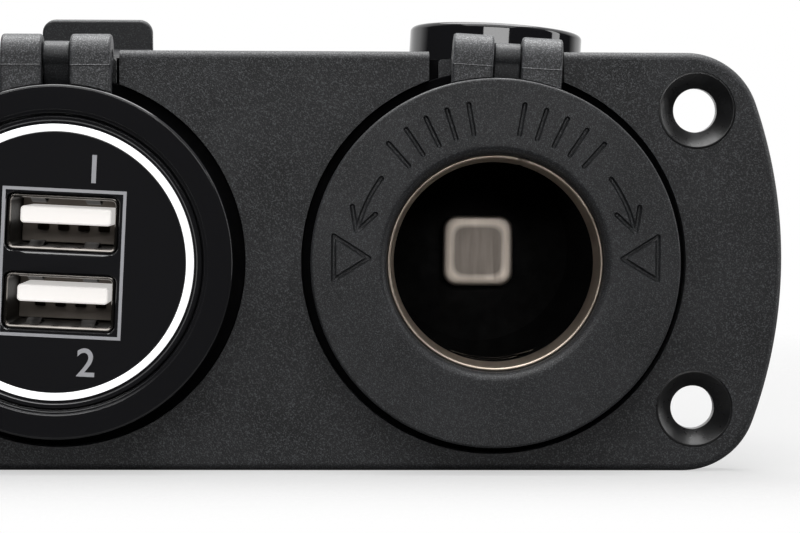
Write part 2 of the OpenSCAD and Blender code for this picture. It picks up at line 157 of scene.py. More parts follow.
def edge_section(y0: float, y1: float, r0: float, r1: float, steps: int = 5) -> np.ndarray:
    """The section of a plate's rim: a quarter circle at each face and a straight side between.

    Args:
        y0: The first face's depth.
        y1: The second face's depth, above y0.
        r0: Rounding at the first face.
        r1: Rounding at the second face.
        steps: Spans along each quarter circle.

    Returns:
        Rows of (inset, y) from the first face to the second.
    """
    a = np.linspace(0, math.pi / 2, steps + 1)
    low = np.stack([r0 * (1 - np.sin(a)), y0 + r0 * (1 - np.cos(a))], 1)
    high = np.stack([r1 * (1 - np.cos(a)), y1 - r1 * (1 - np.sin(a))], 1)
    return np.concatenate([low, high])


def grid_mesh(name: str, grid: np.ndarray, caps: bool = False) -> Mesh:
    """Makes quads between the neighbours of a grid of points, whose columns run all round.

    Args:
        name: The mesh's name.
        grid: Points of shape (rows, columns, 3), in millimetres.
        caps: Whether a flat face closes the first and the last row; otherwise they join.

    Returns:
        The mesh, its doubles merged and its faces turned outwards.
    """
    rows, cols = grid.shape[:2]
    index = np.arange(rows * cols).reshape(rows, cols)
    if not caps:
        index = np.concatenate([index, index[:1]], 0)
    index = np.concatenate([index, index[:, :1]], 1)
    quads = np.stack([index[:-1, :-1], index[:-1, 1:], index[1:, 1:], index[1:, :-1]], -1)
    faces = quads.reshape(-1, 4).tolist()
    if caps:
        faces += [index[0, :cols].tolist(), index[-1, :cols].tolist()[::-1]]
    mesh = bpy.data.meshes.new(name)
    mesh.from_pydata(grid.reshape(-1, 3).tolist(), [], faces)
    return tidy_mesh(mesh)


def round_grid(angles: np.ndarray, radius: np.ndarray, depth: np.ndarray) -> np.ndarray:
    """Sets points round the outlet's axis: (r sin a, y, r cos a) at each angle a.

    Args:
        angles: A column of angles.
        radius: The points' radii, one row for all angles or a row for each.
        depth: The points' depths, likewise.

    Returns:
        The grid, with a row for each angle.
    """
    parts = np.broadcast_arrays(radius * np.sin(angles), depth, radius * np.cos(angles))
    return np.stack(parts, -1)


def level(outline: np.ndarray, y: float) -> np.ndarray:
    """Sets an outline's points (x, z) at one depth."""
    return np.stack([outline[:, 0], np.full(len(outline), y), outline[:, 1]], 1)


def rod(radius: float, y0: float, y1: float) -> np.ndarray:
    """The profile of a plain rod, which only cuts."""
    return np.array([[0, y0], [radius, y0], [radius, y1], [0, y1]])


def full_circle(spans: int) -> np.ndarray:
    """A column of evenly spaced angles."""
    return np.linspace(0, FULL_TURN, spans, endpoint=False)[:, None]


def tidy_mesh(mesh: Mesh, reach: float = 1e-4) -> Mesh:
    """Merges doubles, drops faces with no area and turns all faces outwards.

    Args:
        mesh: The mesh to tidy, in millimetres.
        reach: Points closer than this are one point.

    Returns:
        The same mesh.
    """
    bm = bmesh.new()
    bm.from_mesh(mesh)
    bmesh.ops.remove_doubles(bm, verts=bm.verts, dist=reach)
    bmesh.ops.dissolve_degenerate(bm, edges=bm.edges, dist=reach)
    bmesh.ops.recalc_face_normals(bm, faces=bm.faces)
    bm.to_mesh(mesh)
    bm.free()
    return mesh


def turned(name: str, profile: np.ndarray, angles: int = 192) -> Mesh:
    """Turns a closed profile about the outlet's axis.

    Args:
        name: The mesh's name.
        profile: Rows of (radius, y).
        angles: Spans round the circle.

    Returns:
        The turned mesh.
    """
    radius, depth = profile[None, :, 0], profile[None, :, 1]
    return grid_mesh(name, round_grid(full_circle(angles), radius, depth))


def prism(
    name: str, outline: np.ndarray | Callable[[float], np.ndarray], section: np.ndarray
) -> Mesh:
    """Carries an outline along Y, drawn in by the section's inset at each depth.

    Args:
        name: The mesh's name.
        outline: Points (x, z), or a function that gives them for an inset.
        section: Rows of (inset, y).

    Returns:
        A closed mesh with flat ends.
    """
    draw = outline if callable(outline) else (lambda inset: offset(outline, inset))
    rings = [level(draw(float(inset)), y) for inset, y in section]
    return grid_mesh(name, np.array(rings), caps=True)


def sheet_section(y: np.ndarray, over: np.ndarray, under: np.ndarray) -> np.ndarray:
    """The closed section (y, z) of a bent sheet between its two faces' heights."""
    return np.concatenate([np.stack([y, over], 1), np.stack([y, under], 1)[::-1]])


def ribbon(name: str, section: np.ndarray, x: float, half: float, edge: float) -> Mesh:
    """Carries a closed section (y, z) across a width.

    Args:
        name: The mesh's name.
        section: The section's points.
        x: The middle of the width.
        half: Half the width.
        edge: How far in from each side the next row of points lies.

    Returns:
        A closed mesh.
    """
    places = (-half, edge - half, half - edge, half)
    grid = np.array([np.column_stack([np.full(len(section), x + dx), section]) for dx in places])
    return grid_mesh(name, grid, caps=True)


def box_mesh(name: str, low: Sequence[float], high: Sequence[float], radius: float = 0.15) -> Mesh:
    """A block with rounded edges: a rounded rectangle in X and Z carried along Y.

    Args:
        name: The mesh's name.
        low: Lowest corner.
        high: Highest corner.
        radius: Rounding of all its edges.

    Returns:
        The block's mesh.
    """
    low, high = np.array(low, float), np.array(high, float)
    size, mid = high - low, (low + high) / 2
    outline = rounded_rectangle(size[0], size[2], 1.6 * radius) + mid[[0, 2]]
    return prism(name, outline, edge_section(low[1], high[1], radius, radius, 3))


def stroke_outline(path: np.ndarray, width: float, steps: int = 6) -> np.ndarray:
    """The outline of a pen stroke with round ends.

    Both sides are the path moved by half the width along its normal, and a half circle closes
    each end.

    Args:
        path: Points (x, z) along the stroke.
        width: The stroke's width.
        steps: Spans round each end.

    Returns:
        The closed outline, counter-clockwise.
    """
    run = np.gradient(path, axis=0)
    run /= np.linalg.norm(run, axis=1, keepdims=True)
    left = np.stack([-run[:, 1], run[:, 0]], 1) * width / 2

    def end(centre: np.ndarray, start: np.ndarray) -> np.ndarray:
        """Half a circle, clockwise from the start vector."""
        a = np.linspace(0, -math.pi, steps + 1)[1:-1, None]
        return centre + start * np.cos(a) + np.array([-start[1], start[0]]) * np.sin(a)

    there = [path + left, end(path[-1], left[-1])]
    back = [(path - left)[::-1], end(path[0], -left[0])]
    return np.concatenate(there + back)[::-1]


def straight(p: Sequence[float], q: Sequence[float]) -> np.ndarray:
    """A straight path of five points from p to q."""
    t = np.linspace(0, 1, 5)[:, None]
    return np.array(p) * (1 - t) + np.array(q) * t


def ring_arc(radius: float, start: float, end: float, steps: int = 12) -> np.ndarray:
    """A path along a circle, with its angles in degrees clockwise from the top."""
    a = np.radians(np.linspace(start, end, steps + 1))
    return radius * np.stack([np.sin(a), np.cos(a)], 1)


def moved(mesh: Mesh, matrix: Matrix) -> Mesh:
    """Transforms a mesh's points and returns it."""
    mesh.transform(matrix)
    return mesh


def shift(x: float = 0.0, y: float = 0.0, z: float = 0.0) -> Matrix:
    """A move along the axes."""
    return Matrix.Translation(Vector((x, y, z)))


def turn(degrees: float, axis: str) -> Matrix:
    """A turn about one of the axes."""
    return Matrix.Rotation(math.radians(degrees), 4, axis)


def joined(name: str, meshes: Sequence[Mesh]) -> Mesh:
    """Puts several meshes into one.

    Args:
        name: The new mesh's name.
        meshes: The meshes, which are used up.

    Returns:
        One mesh with all their faces.
    """
    bm = bmesh.new()
    for mesh in meshes:
        bm.from_mesh(mesh)
        bpy.data.meshes.remove(mesh)
    out = bpy.data.meshes.new(name)
    bm.to_mesh(out)
    bm.free()
    return out


def linked(name: str, data: bpy.types.ID) -> bpy.types.Object:
    """Makes an object from its data and puts it into the scene."""
    made = bpy.data.objects.new(name, data)
    bpy.context.scene.collection.objects.link(made)
    return made


def applied(holder: bpy.types.Object) -> Mesh:
    """A new mesh of an object with its modifiers applied."""
    graph = bpy.context.evaluated_depsgraph_get()
    return bpy.data.meshes.new_from_object(holder.evaluated_get(graph))


def boolean(base: Mesh, tools: Sequence[Mesh], operation: str = "DIFFERENCE") -> Mesh:
    """Cuts tools out of a mesh, or adds them to it.

    Args:
        base: The mesh to change, which is used up.
        tools: The other meshes, which are used up.
        operation: Blender's name for the operation.

    Returns:
        The resulting mesh.
    """
    holder = linked("work", base)
    for tool in tools:
        cutter = linked("tool", tool)
        modifier = holder.modifiers.new("cut", "BOOLEAN")
        modifier.operation = operation
        modifier.solver = "EXACT"
        modifier.object = cutter
        done = applied(holder)
        holder.modifiers.clear()
        holder.data = done
        bpy.data.objects.remove(cutter)
    out = holder.data
    bpy.data.objects.remove(holder)
    return tidy_mesh(out)


def bevelled(mesh: Mesh, width: float, segments: int = 2, angle: float = 40.0) -> Mesh:
    """Rounds a mesh's hard edges.

    Args:
        mesh: The mesh, which is used up.
        width: The rounding's width.
        segments: Spans across it.
        angle: Edges sharper than this are rounded, in degrees.

    Returns:
        The rounded mesh.
    """
    holder = linked("work", mesh)
    modifier = holder.modifiers.new("round", "BEVEL")
    modifier.width = width
    modifier.segments = segments
    modifier.limit_method = "ANGLE"
    modifier.angle_limit = math.radians(angle)
    done = applied(holder)
    bpy.data.objects.remove(holder)
    return done


def make_piece(
    name: str,
    mesh: Mesh,
    place: Matrix,
    finish: "Finish",
    body: Body = Body.ROOT,
    stands_for: Sequence[str] = (),
    sharp: float = 38.0,
) -> bpy.types.Object:
    """Finishes a mesh as a piece of the object.

    Args:
        name: The piece's name.
        mesh: Its mesh in millimetres.
        place: Where it goes in the shared frame, in millimetres.
        finish: Its finish.
        body: The body that it rides on.
        stands_for: CAD nodes that it replaces.
        sharp: Edges sharper than this stay crisp, in degrees.

    Returns:
        The new object, at the origin, with its place in its mesh.
    """
    mesh.name = name
    mesh.transform(Matrix.Scale(MM, 4) @ place)
    mesh.shade_smooth()
    mesh.set_sharp_from_angle(angle=math.radians(sharp))
    mesh.materials.clear()
    mesh.materials.append(finish.make())
    piece = linked(name, mesh)
    flats = piece.modifiers.new("flats_stay_flat", "WEIGHTED_NORMAL")
    flats.keep_sharp = True
    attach(piece, body.value)
    if stands_for:
        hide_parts(*stands_for)
    LOG.info("piece %s: %d faces on %s", name, len(mesh.polygons), body.value)
    return piece


def linear(hex_code: str) -> tuple[float, float, float, float]:
    """Turns an sRGB hex colour into linear light.

    Args:
        hex_code: Six hex digits.

    Returns:
        Linear red, green and blue, and 1 for alpha.
    """
    srgb = np.array([int(hex_code[i:i + 2], 16) for i in (0, 2, 4)]) / 255.0
    light = np.where(srgb <= 0.04045, srgb / 12.92, ((srgb + 0.055) / 1.055) ** 2.4)
    return (*(float(c) for c in light), 1.0)


def per_metre(size_mm: float) -> float:
    """The scale at which a noise pattern's cells are about this many millimetres wide."""
    return 1.0 / (size_mm * MM)


def add_node(
    tree: Tree, kind: str, inputs: dict | None = None, **settings: object
) -> bpy.types.Node:
    """Adds a shader node with its settings, values and links.

    Args:
        tree: The material's node tree.
        kind: The node's type.
        inputs: Value or source socket for each input, by name or place.
        **settings: The node's own properties.

    Returns:
        The node.
    """
    made = tree.nodes.new(kind)
    for key, value in settings.items():
        setattr(made, key, value)
    for key, value in (inputs or {}).items():
        if isinstance(value, Output):
            tree.links.new(value, made.inputs[key])
        else:
            made.inputs[key].default_value = value
    return made


def stretched(tree: Tree, scale: Sequence[float]) -> Output:
    """Object coordinates scaled by a different amount along each axis."""
    place = add_node(tree, "ShaderNodeTexCoord")
    inputs = {"Vector": place.outputs["Object"], "Scale": tuple(scale)}
    return add_node(tree, "ShaderNodeMapping", inputs).outputs[0]


def noise(
    tree: Tree, size_mm: float, detail: float = 2.0, scale: Sequence[float] = (1, 1, 1)
) -> Output:
    """Noise whose cells have a real size.

    Args:
        tree: The material's node tree.
        size_mm: Width of the cells.
        detail: Octaves of finer noise.
        scale: Extra stretch along each axis.

    Returns:
        The noise's value.
    """
    inputs = {"Vector": stretched(tree, scale), "Scale": per_metre(size_mm)}
    inputs |= {"Detail": detail, "Roughness": 0.55}
    return add_node(tree, "ShaderNodeTexNoise", inputs).outputs[0]


def remap(tree: Tree, value: Output, low: float, high: float, to: tuple[float, float]) -> Output:
    """Maps a value from low..high to another range, clamped."""
    inputs = {"Value": value, "From Min": low, "From Max": high, "To Min": to[0], "To Max": to[1]}
    return add_node(tree, "ShaderNodeMapRange", inputs).outputs[0]


def blended(tree: Tree, factor: Output, first: str | Output, second: str) -> Output:
    """Mixes a colour and a hex colour by a factor."""
    inputs = {0: factor, 6: linear(first) if isinstance(first, str) else first, 7: linear(second)}
    return add_node(tree, "ShaderNodeMix", inputs, data_type="RGBA").outputs[2]


def bumped(tree: Tree, height: Output, depth_mm: float, strength: float = 1.0) -> Output:
    """A normal bent by a height pattern of a real depth."""
    inputs = {"Height": height, "Distance": depth_mm * MM, "Strength": strength}
    return add_node(tree, "ShaderNodeBump", inputs).outputs[0]


def uneven(tree: Tree, pattern: Output, roughness: float, least: float) -> Output:
    """A roughness that a pattern moves between a share of its value and 1.12 times it."""
    return remap(tree, pattern, 0.3, 0.7, (least * roughness, 1.12 * roughness))


def computed(tree: Tree, operation: str, first: Output, second: object) -> Output:
    """Two values through one math node."""
    return add_node(tree, "ShaderNodeMath", {0: first, 1: second}, operation=operation).outputs[0]


def empty_tree(owner: bpy.types.Material | bpy.types.World) -> Tree:
    """Switches an owner's nodes on and clears them."""
    owner.use_nodes = True
    owner.node_tree.nodes.clear()
    return owner.node_tree


@dataclass(frozen=True)
class Finish:
    """A finish starts as one named material with an empty node tree and a surface shader."""

    name: str

    def make(self) -> bpy.types.Material:
        """Builds the material once and gives the same one after that.

        Returns:
            The Blender material.
        """
        known = bpy.data.materials.get(self.name)
        if known:
            return known
        material = bpy.data.materials.new(self.name)
        tree = empty_tree(material)
        surface = add_node(tree, "ShaderNodeBsdfPrincipled", self.surface(tree))
        add_node(tree, "ShaderNodeOutputMaterial", {"Surface": surface.outputs[0]})
        return material

    def surface(self, tree: Tree) -> dict:
        """The shader's inputs, which each kind of finish gives."""
        raise NotImplementedError


@dataclass(frozen=True)
class SparkGrainedABS(Finish):
    """Black ABS moulded against a spark-eroded tool.

    The tool leaves small pits and peaks, so the face is matt and glints where a peak turns to the
    light; these glints are painted into the colour as pale specks, a painted highlight. The real
    pits are about 0.1 mm wide; they are drawn as wide as grain_mm so that they show.
    """

    base: str = "0f1012"
    # peak colours both the random lighter tone and the painted glint specks.
    peak: str = "4b4c4f"
    grain_mm: float = 0.14
    shade_mm: float = 7.0
    depth_mm: float = 0.04
    gloss: float = 0.0

    def surface(self, tree: Tree) -> dict:
        """Painted glint specks, slow changes of tone and a pitted relief."""
        fine = noise(tree, self.grain_mm, 1.0)
        broad = noise(tree, self.shade_mm)
        painted_glint_specks = remap(tree, fine, 0.5, 0.74, (0.0, 1.0))
        shade = blended(tree, remap(tree, broad, 0.3, 0.7, (0.0, 0.16)), self.base, self.peak)
        return {
            "Base Color": blended(tree, painted_glint_specks, shade, self.peak),
            "Roughness": remap(tree, fine, 0.35, 0.7, (0.62 - self.gloss, 0.44 - self.gloss)),
            "Normal": bumped(tree, fine, self.depth_mm, 0.8),
        }


@dataclass(frozen=True)
class MouldedPlastic(Finish):
    """Plain moulded thermoplastic with the faint unevenness of a mould."""

    base: str
    edge: str
    roughness: float = 0.4
    cell_mm: float = 1.2
    depth_mm: float = 0.012
    real_and_painted_glow: float = 0.0
    specular: float = 0.5

    def surface(self, tree: Tree) -> dict:
        """Slow colour drift, uneven roughness and a shallow mould texture."""
        drift = noise(tree, 5.0 * self.cell_mm)
        fine = noise(tree, self.cell_mm, 4.0)
        share = remap(tree, drift, 0.3, 0.7, (0.0, 1.0))
        out = {
            "Base Color": blended(tree, share, self.base, self.edge),
            "Roughness": uneven(tree, fine, self.roughness, 0.88),
            "Normal": bumped(tree, fine, self.depth_mm, 0.5),
            "Specular IOR Level": self.specular,
        }
        # Emission: real light in the lit ring and its lamps; painted light in the port tongues and
        # the grey print, which are no lamps.
        if self.real_and_painted_glow > 0:
            out["Emission Color"] = linear(self.base)
            out["Emission Strength"] = self.real_and_painted_glow
        return out


@dataclass(frozen=True)
class PolishedABS(Finish):
    """Black ABS moulded against a mirror-polished tool.

    It reflects sharply and nearly without ripples. Fine dust nibs break the gloss.
    """

    base: str = "1c1c1e"
    roughness: float = 0.06
    dust_mm: float = 0.35
    wave_mm: float = 9.0
    ripple_mm: float = 0.004
    nib: str = "2c2c2e"

    def surface(self, tree: Tree) -> dict:
        """Deep black, with dust that dulls the gloss in tiny spots and a long soft ripple."""
        dust = noise(tree, self.dust_mm)
        wave = noise(tree, self.wave_mm, 1.0)
        share = remap(tree, dust, 0.76, 0.82, (0.0, 0.4))
        return {
            "Base Color": blended(tree, share, self.base, self.nib),
            "Roughness": remap(tree, dust, 0.6, 0.85, (self.roughness, self.roughness + 0.03)),
            "Normal": bumped(tree, wave, self.ripple_mm, 0.4),
        }


@dataclass(frozen=True)
class MetalFinish(Finish):
    """Turned, rolled or drawn metal: fine lines along one direction over a slow change of tint.

    The lines are drawn by a noise that is stretched by line_scale, which is small along the lines
    and large across them.
    """

    base: str
    dark: str
    roughness: float = 0.28
    line_mm: float = 0.4
    line_scale: Triple = (0.12, 1.0, 0.12)
    depth_mm: float = 0.004
    stain_mm: float = 3.5

    def surface(self, tree: Tree) -> dict:
        """Metal with lines in its roughness and relief, and stains in its tint."""
        lines = noise(tree, self.line_mm, 3.0, self.line_scale)
        stain = noise(tree, self.stain_mm, 3.0)
        share = remap(tree, stain, 0.35, 0.72, (0.0, 0.7))
        return {
            "Base Color": blended(tree, share, self.base, self.dark),
            "Metallic": 1.0,
            "Roughness": uneven(tree, lines, self.roughness, 0.9),
            "Normal": bumped(tree, lines, self.depth_mm, 0.6),
        }


@dataclass(frozen=True)
class PressedContact(MetalFinish):
    """A pressed contact: its rounded rim is painted lighter than its flat middle, a painted
    highlight.
    """

    # Colour of the painted highlight on the rim.
    rim: str = "d8ccc0"
    middle: tuple[float, float] = (23.2, -0.3)
    reach: tuple[float, float] = (2.7, 3.3)
    squareness: float = 5.0

    def surface(self, tree: Tree) -> dict:
        """The metal, its rim painted with a highlight picked out by a rounded square: (|x|^p +
        |z|^p)^(1/p) is constant.
        """
        out = super().surface(tree)
        place = add_node(tree, "ShaderNodeTexCoord").outputs["Object"]
        middle, per_mm = (self.middle[0] * MM, 0, self.middle[1] * MM), (1 / MM, 0, 1 / MM)
        steps = (("SUBTRACT", middle), ("ABSOLUTE", (0, 0, 0)), ("MULTIPLY", per_mm))
        for operation, other in steps:
            inputs = {0: place, 1: other}
            place = add_node(tree, "ShaderNodeVectorMath", inputs, operation=operation).outputs[0]
        axes = add_node(tree, "ShaderNodeSeparateXYZ", {0: place}).outputs
        powers = [computed(tree, "POWER", axes[k], self.squareness) for k in (0, 2)]
        far = computed(tree, "POWER", computed(tree, "ADD", *powers), 1 / self.squareness)
        # Painted highlight: the rim is made lighter where its slopes would catch the light.
        painted_rim_highlight = remap(tree, far, *self.reach, (0.0, 1.0))
        return out | {"Base Color": blended(tree, painted_rim_highlight, out["Base Color"], self.rim)}


@dataclass(frozen=True)
class BoardMask(Finish):
    """Green solder mask over copper tracks, which stand a little proud and look paler."""

    base: str = "17502f"
    track: str = "2c7a48"
    pitch_mm: float = 2.573

    def surface(self, tree: Tree) -> dict:
        """Straight tracks about 1 mm wide, broken up by a coarse noise.

        The wave pattern repeats every pi / 10 of its scaled coordinates.
        """
        scale = per_metre(self.pitch_mm) * math.pi / 10
        inputs = {"Vector": stretched(tree, (1, 1, 1)), "Scale": scale}
        lines = add_node(tree, "ShaderNodeTexWave", inputs, bands_direction="Z").outputs[1]
        where = remap(tree, noise(tree, 4.0, 0.0), 0.45, 0.55, (0.0, 1.0))
        track = computed(tree, "MULTIPLY", remap(tree, lines, 0.6, 0.7, (0.0, 1.0)), where)
        return {
            "Base Color": blended(tree, track, self.base, self.track),
            "Roughness": 0.3,
            "Normal": bumped(tree, track, 0.03, 0.5),
        }


class Finishes:
    """The finishes of this object, each named for its real material."""

    PANEL = SparkGrainedABS("abs_spark_grained_panel")
    FLANGE = SparkGrainedABS(
        "abs_spark_grained_flange", base="131416", peak="48494c", grain_mm=0.12, depth_mm=0.03,
        gloss=0.06,
    )
    # Paler than the panel's grain: painted light for the bright top light on the knuckles.
    HINGE = SparkGrainedABS(
        "abs_satin_grained_hinge", base="1d1e20", peak="67686b", grain_mm=0.14, depth_mm=0.022,
        gloss=0.06,
    )
    LID = SparkGrainedABS(
        "abs_satin_grained_lid", base="191a1c", peak="434446", grain_mm=0.14, depth_mm=0.02,
        gloss=0.06,
    )
    SEAT = MouldedPlastic(
        "abs_satin_countersink", base="141415", edge="1b1b1c", roughness=0.3, cell_mm=0.5,
        depth_mm=0.01,
    )
    BARREL = MouldedPlastic("abs_moulded_thread", base="1d1e20", edge="27282a", roughness=0.42)
    NUT = MouldedPlastic("nylon_moulded_nut", base="202124", edge="2b2c2f", roughness=0.5)
    CAP = MouldedPlastic("abs_moulded_cap", base="1f2022", edge="292a2c", roughness=0.45)
    INSULATOR = MouldedPlastic(
        "phenolic_insulator", base="060606", edge="0d0c0b", roughness=0.75, specular=0.2
    )
    GASKET = MouldedPlastic(
        "nitrile_rubber", base="101011", edge="181819", roughness=0.75, depth_mm=0.03
    )
    BEZEL = PolishedABS("abs_polished_bezel")
    FACE = PolishedABS("abs_polished_face", base="1f1f21", roughness=0.05)
    PLUG = PolishedABS("abs_mirror_polished_plug", base="18181a", roughness=0.05)
    # Darker than nickel plating: painted shade down the deep bore.
    SHELL = MetalFinish(
        "steel_nickel_plated_shell", base="3c3631", dark="27231f", roughness=0.07, depth_mm=0.0005
    )
    LIP = MetalFinish(
        "steel_rolled_lip", base="d8cabb", dark="a39585", roughness=0.4, line_mm=0.3,
        depth_mm=0.001,
    )
    CONTACT = PressedContact(
        "steel_nickel_plated_contact", base="857d76", dark="7e766f", roughness=0.5,
        depth_mm=0.0004, line_scale=(1, 1, 0.1),
    )
    SPRING = MetalFinish("steel_spring_wire", base="b9b4aa", dark="8d887f", roughness=0.3)
    BRASS = MetalFinish("brass_turned", base="c2a55c", dark="94783a", roughness=0.3)
    TERMINAL = MetalFinish(
        "brass_tinned_terminal", base="cdc8bd", dark="a39d92", roughness=0.3,
        line_scale=(1, 0.08, 1),
    )
    PIN = MetalFinish(
        "steel_hinge_pin", base="a1a2a4", dark="77787a", roughness=0.28, line_scale=(0.1, 1, 1)
    )
    # Near-black for steel: painted shade inside the ports.
    PORT = MetalFinish(
        "steel_stamped_port", base="1f1c1a", dark="12100f", roughness=0.42, line_scale=(0.1, 1, 1)
    )
    MOUTH = MetalFinish(
        "steel_polished_mouth", base="9a9590", dark="6f6a65", roughness=0.2, line_mm=0.3,
        depth_mm=0.001,
    )
    CARRIER = MouldedPlastic("nylon_port_carrier", base="7d756d", edge="675f57", roughness=0.6)
    # Near-black strips: painted shade for the dark slots under the tongues.
    STRIP = MetalFinish(
        "contact_strip_painted_shade", base="241e18", dark="120f0c", roughness=0.4, line_scale=(1, 0.1, 1)
    )
    # Near-black, matt and barely glossy: painted shade that fills the gaps round the collars and
    # beside the ledges.
    SHADE_FILLER = MouldedPlastic(
        "black_shade_filler", base="050506", edge="08080a", roughness=0.95, depth_mm=0.03,
        specular=0.1,
    )
    CAN = MetalFinish("aluminium_capacitor_can", base="aeb2b6", dark="8b8f93", roughness=0.3)
    # The tongues' glow is painted light, to keep them near white deep in their ports.
    TONGUE = MouldedPlastic(
        "nylon_port_tongue", base="f4f1ee", edge="ece7e2", roughness=0.35, real_and_painted_glow=0.55
    )
    RING = MouldedPlastic(
        "polycarbonate_lit_diffuser", base="ffffff", edge="f7f9ff", roughness=0.3, real_and_painted_glow=0.85
    )
    # The print's glow is painted light.
    INK = MouldedPlastic("pad_print_grey", base="a2a2a6", edge="98989c", roughness=0.5, real_and_painted_glow=0.22)
    BOARD = BoardMask("fibreglass_solder_mask")
    FERRITE = MouldedPlastic(
        "ferrite_moulded_coil", base="38383a", edge="454547", roughness=0.6, depth_mm=0.03
    )
    CHIP = MouldedPlastic("epoxy_chip", base="161618", edge="1e1e20", roughness=0.5)
    LAMP = MouldedPlastic(
        "silicone_lamp_lens", base="f3efd8", edge="ece6c4", roughness=0.3, real_and_painted_glow=0.5
    )


@dataclass(frozen=True)
class Layout:
    """Where the outlets, their hinges and their layers lie, in millimetres."""

    pitch: float = 46.4
    drop: float = 0.3
    front_y: float = -3.0
    collar_y: float = -4.8
    flange_y: float = -6.8
    root_r: float = 13.5
    hinge_y: float = -3.45
    hinge_h: float = 21.9
    collar_turn: float = 3.3
    port_turn: float = 2.6
    port_x: float = 0.6
    socket_open: float = 273.0
    charger_open: float = 262.0

    def outlet(self, side: Side) -> Matrix:
        """The place of an outlet's own frame."""
        return shift(side.value * self.pitch / 2, 0, -self.drop)

    def collar(self, side: Side) -> Matrix:
        """The place of an outlet's hinge collar, which is slightly turned on the socket."""
        return self.outlet(side) @ turn(side.pick(0.0, self.collar_turn), "Y")

    def ports(self) -> Matrix:
        """The place of the charger's port block, which is slightly turned too."""
        return self.outlet(Side.CHARGER) @ turn(self.port_turn, "Y") @ shift(self.port_x)

    def lid(self, side: Side) -> Matrix:
        """The place of a lid that is drawn shut, once it is folded open about its hinge."""
        hinge = shift(0, self.hinge_y, self.hinge_h)
        angle = side.pick(self.charger_open, self.socket_open)
        return self.collar(side) @ hinge @ turn(-angle, "X") @ hinge.inverted()


LAYOUT = Layout()


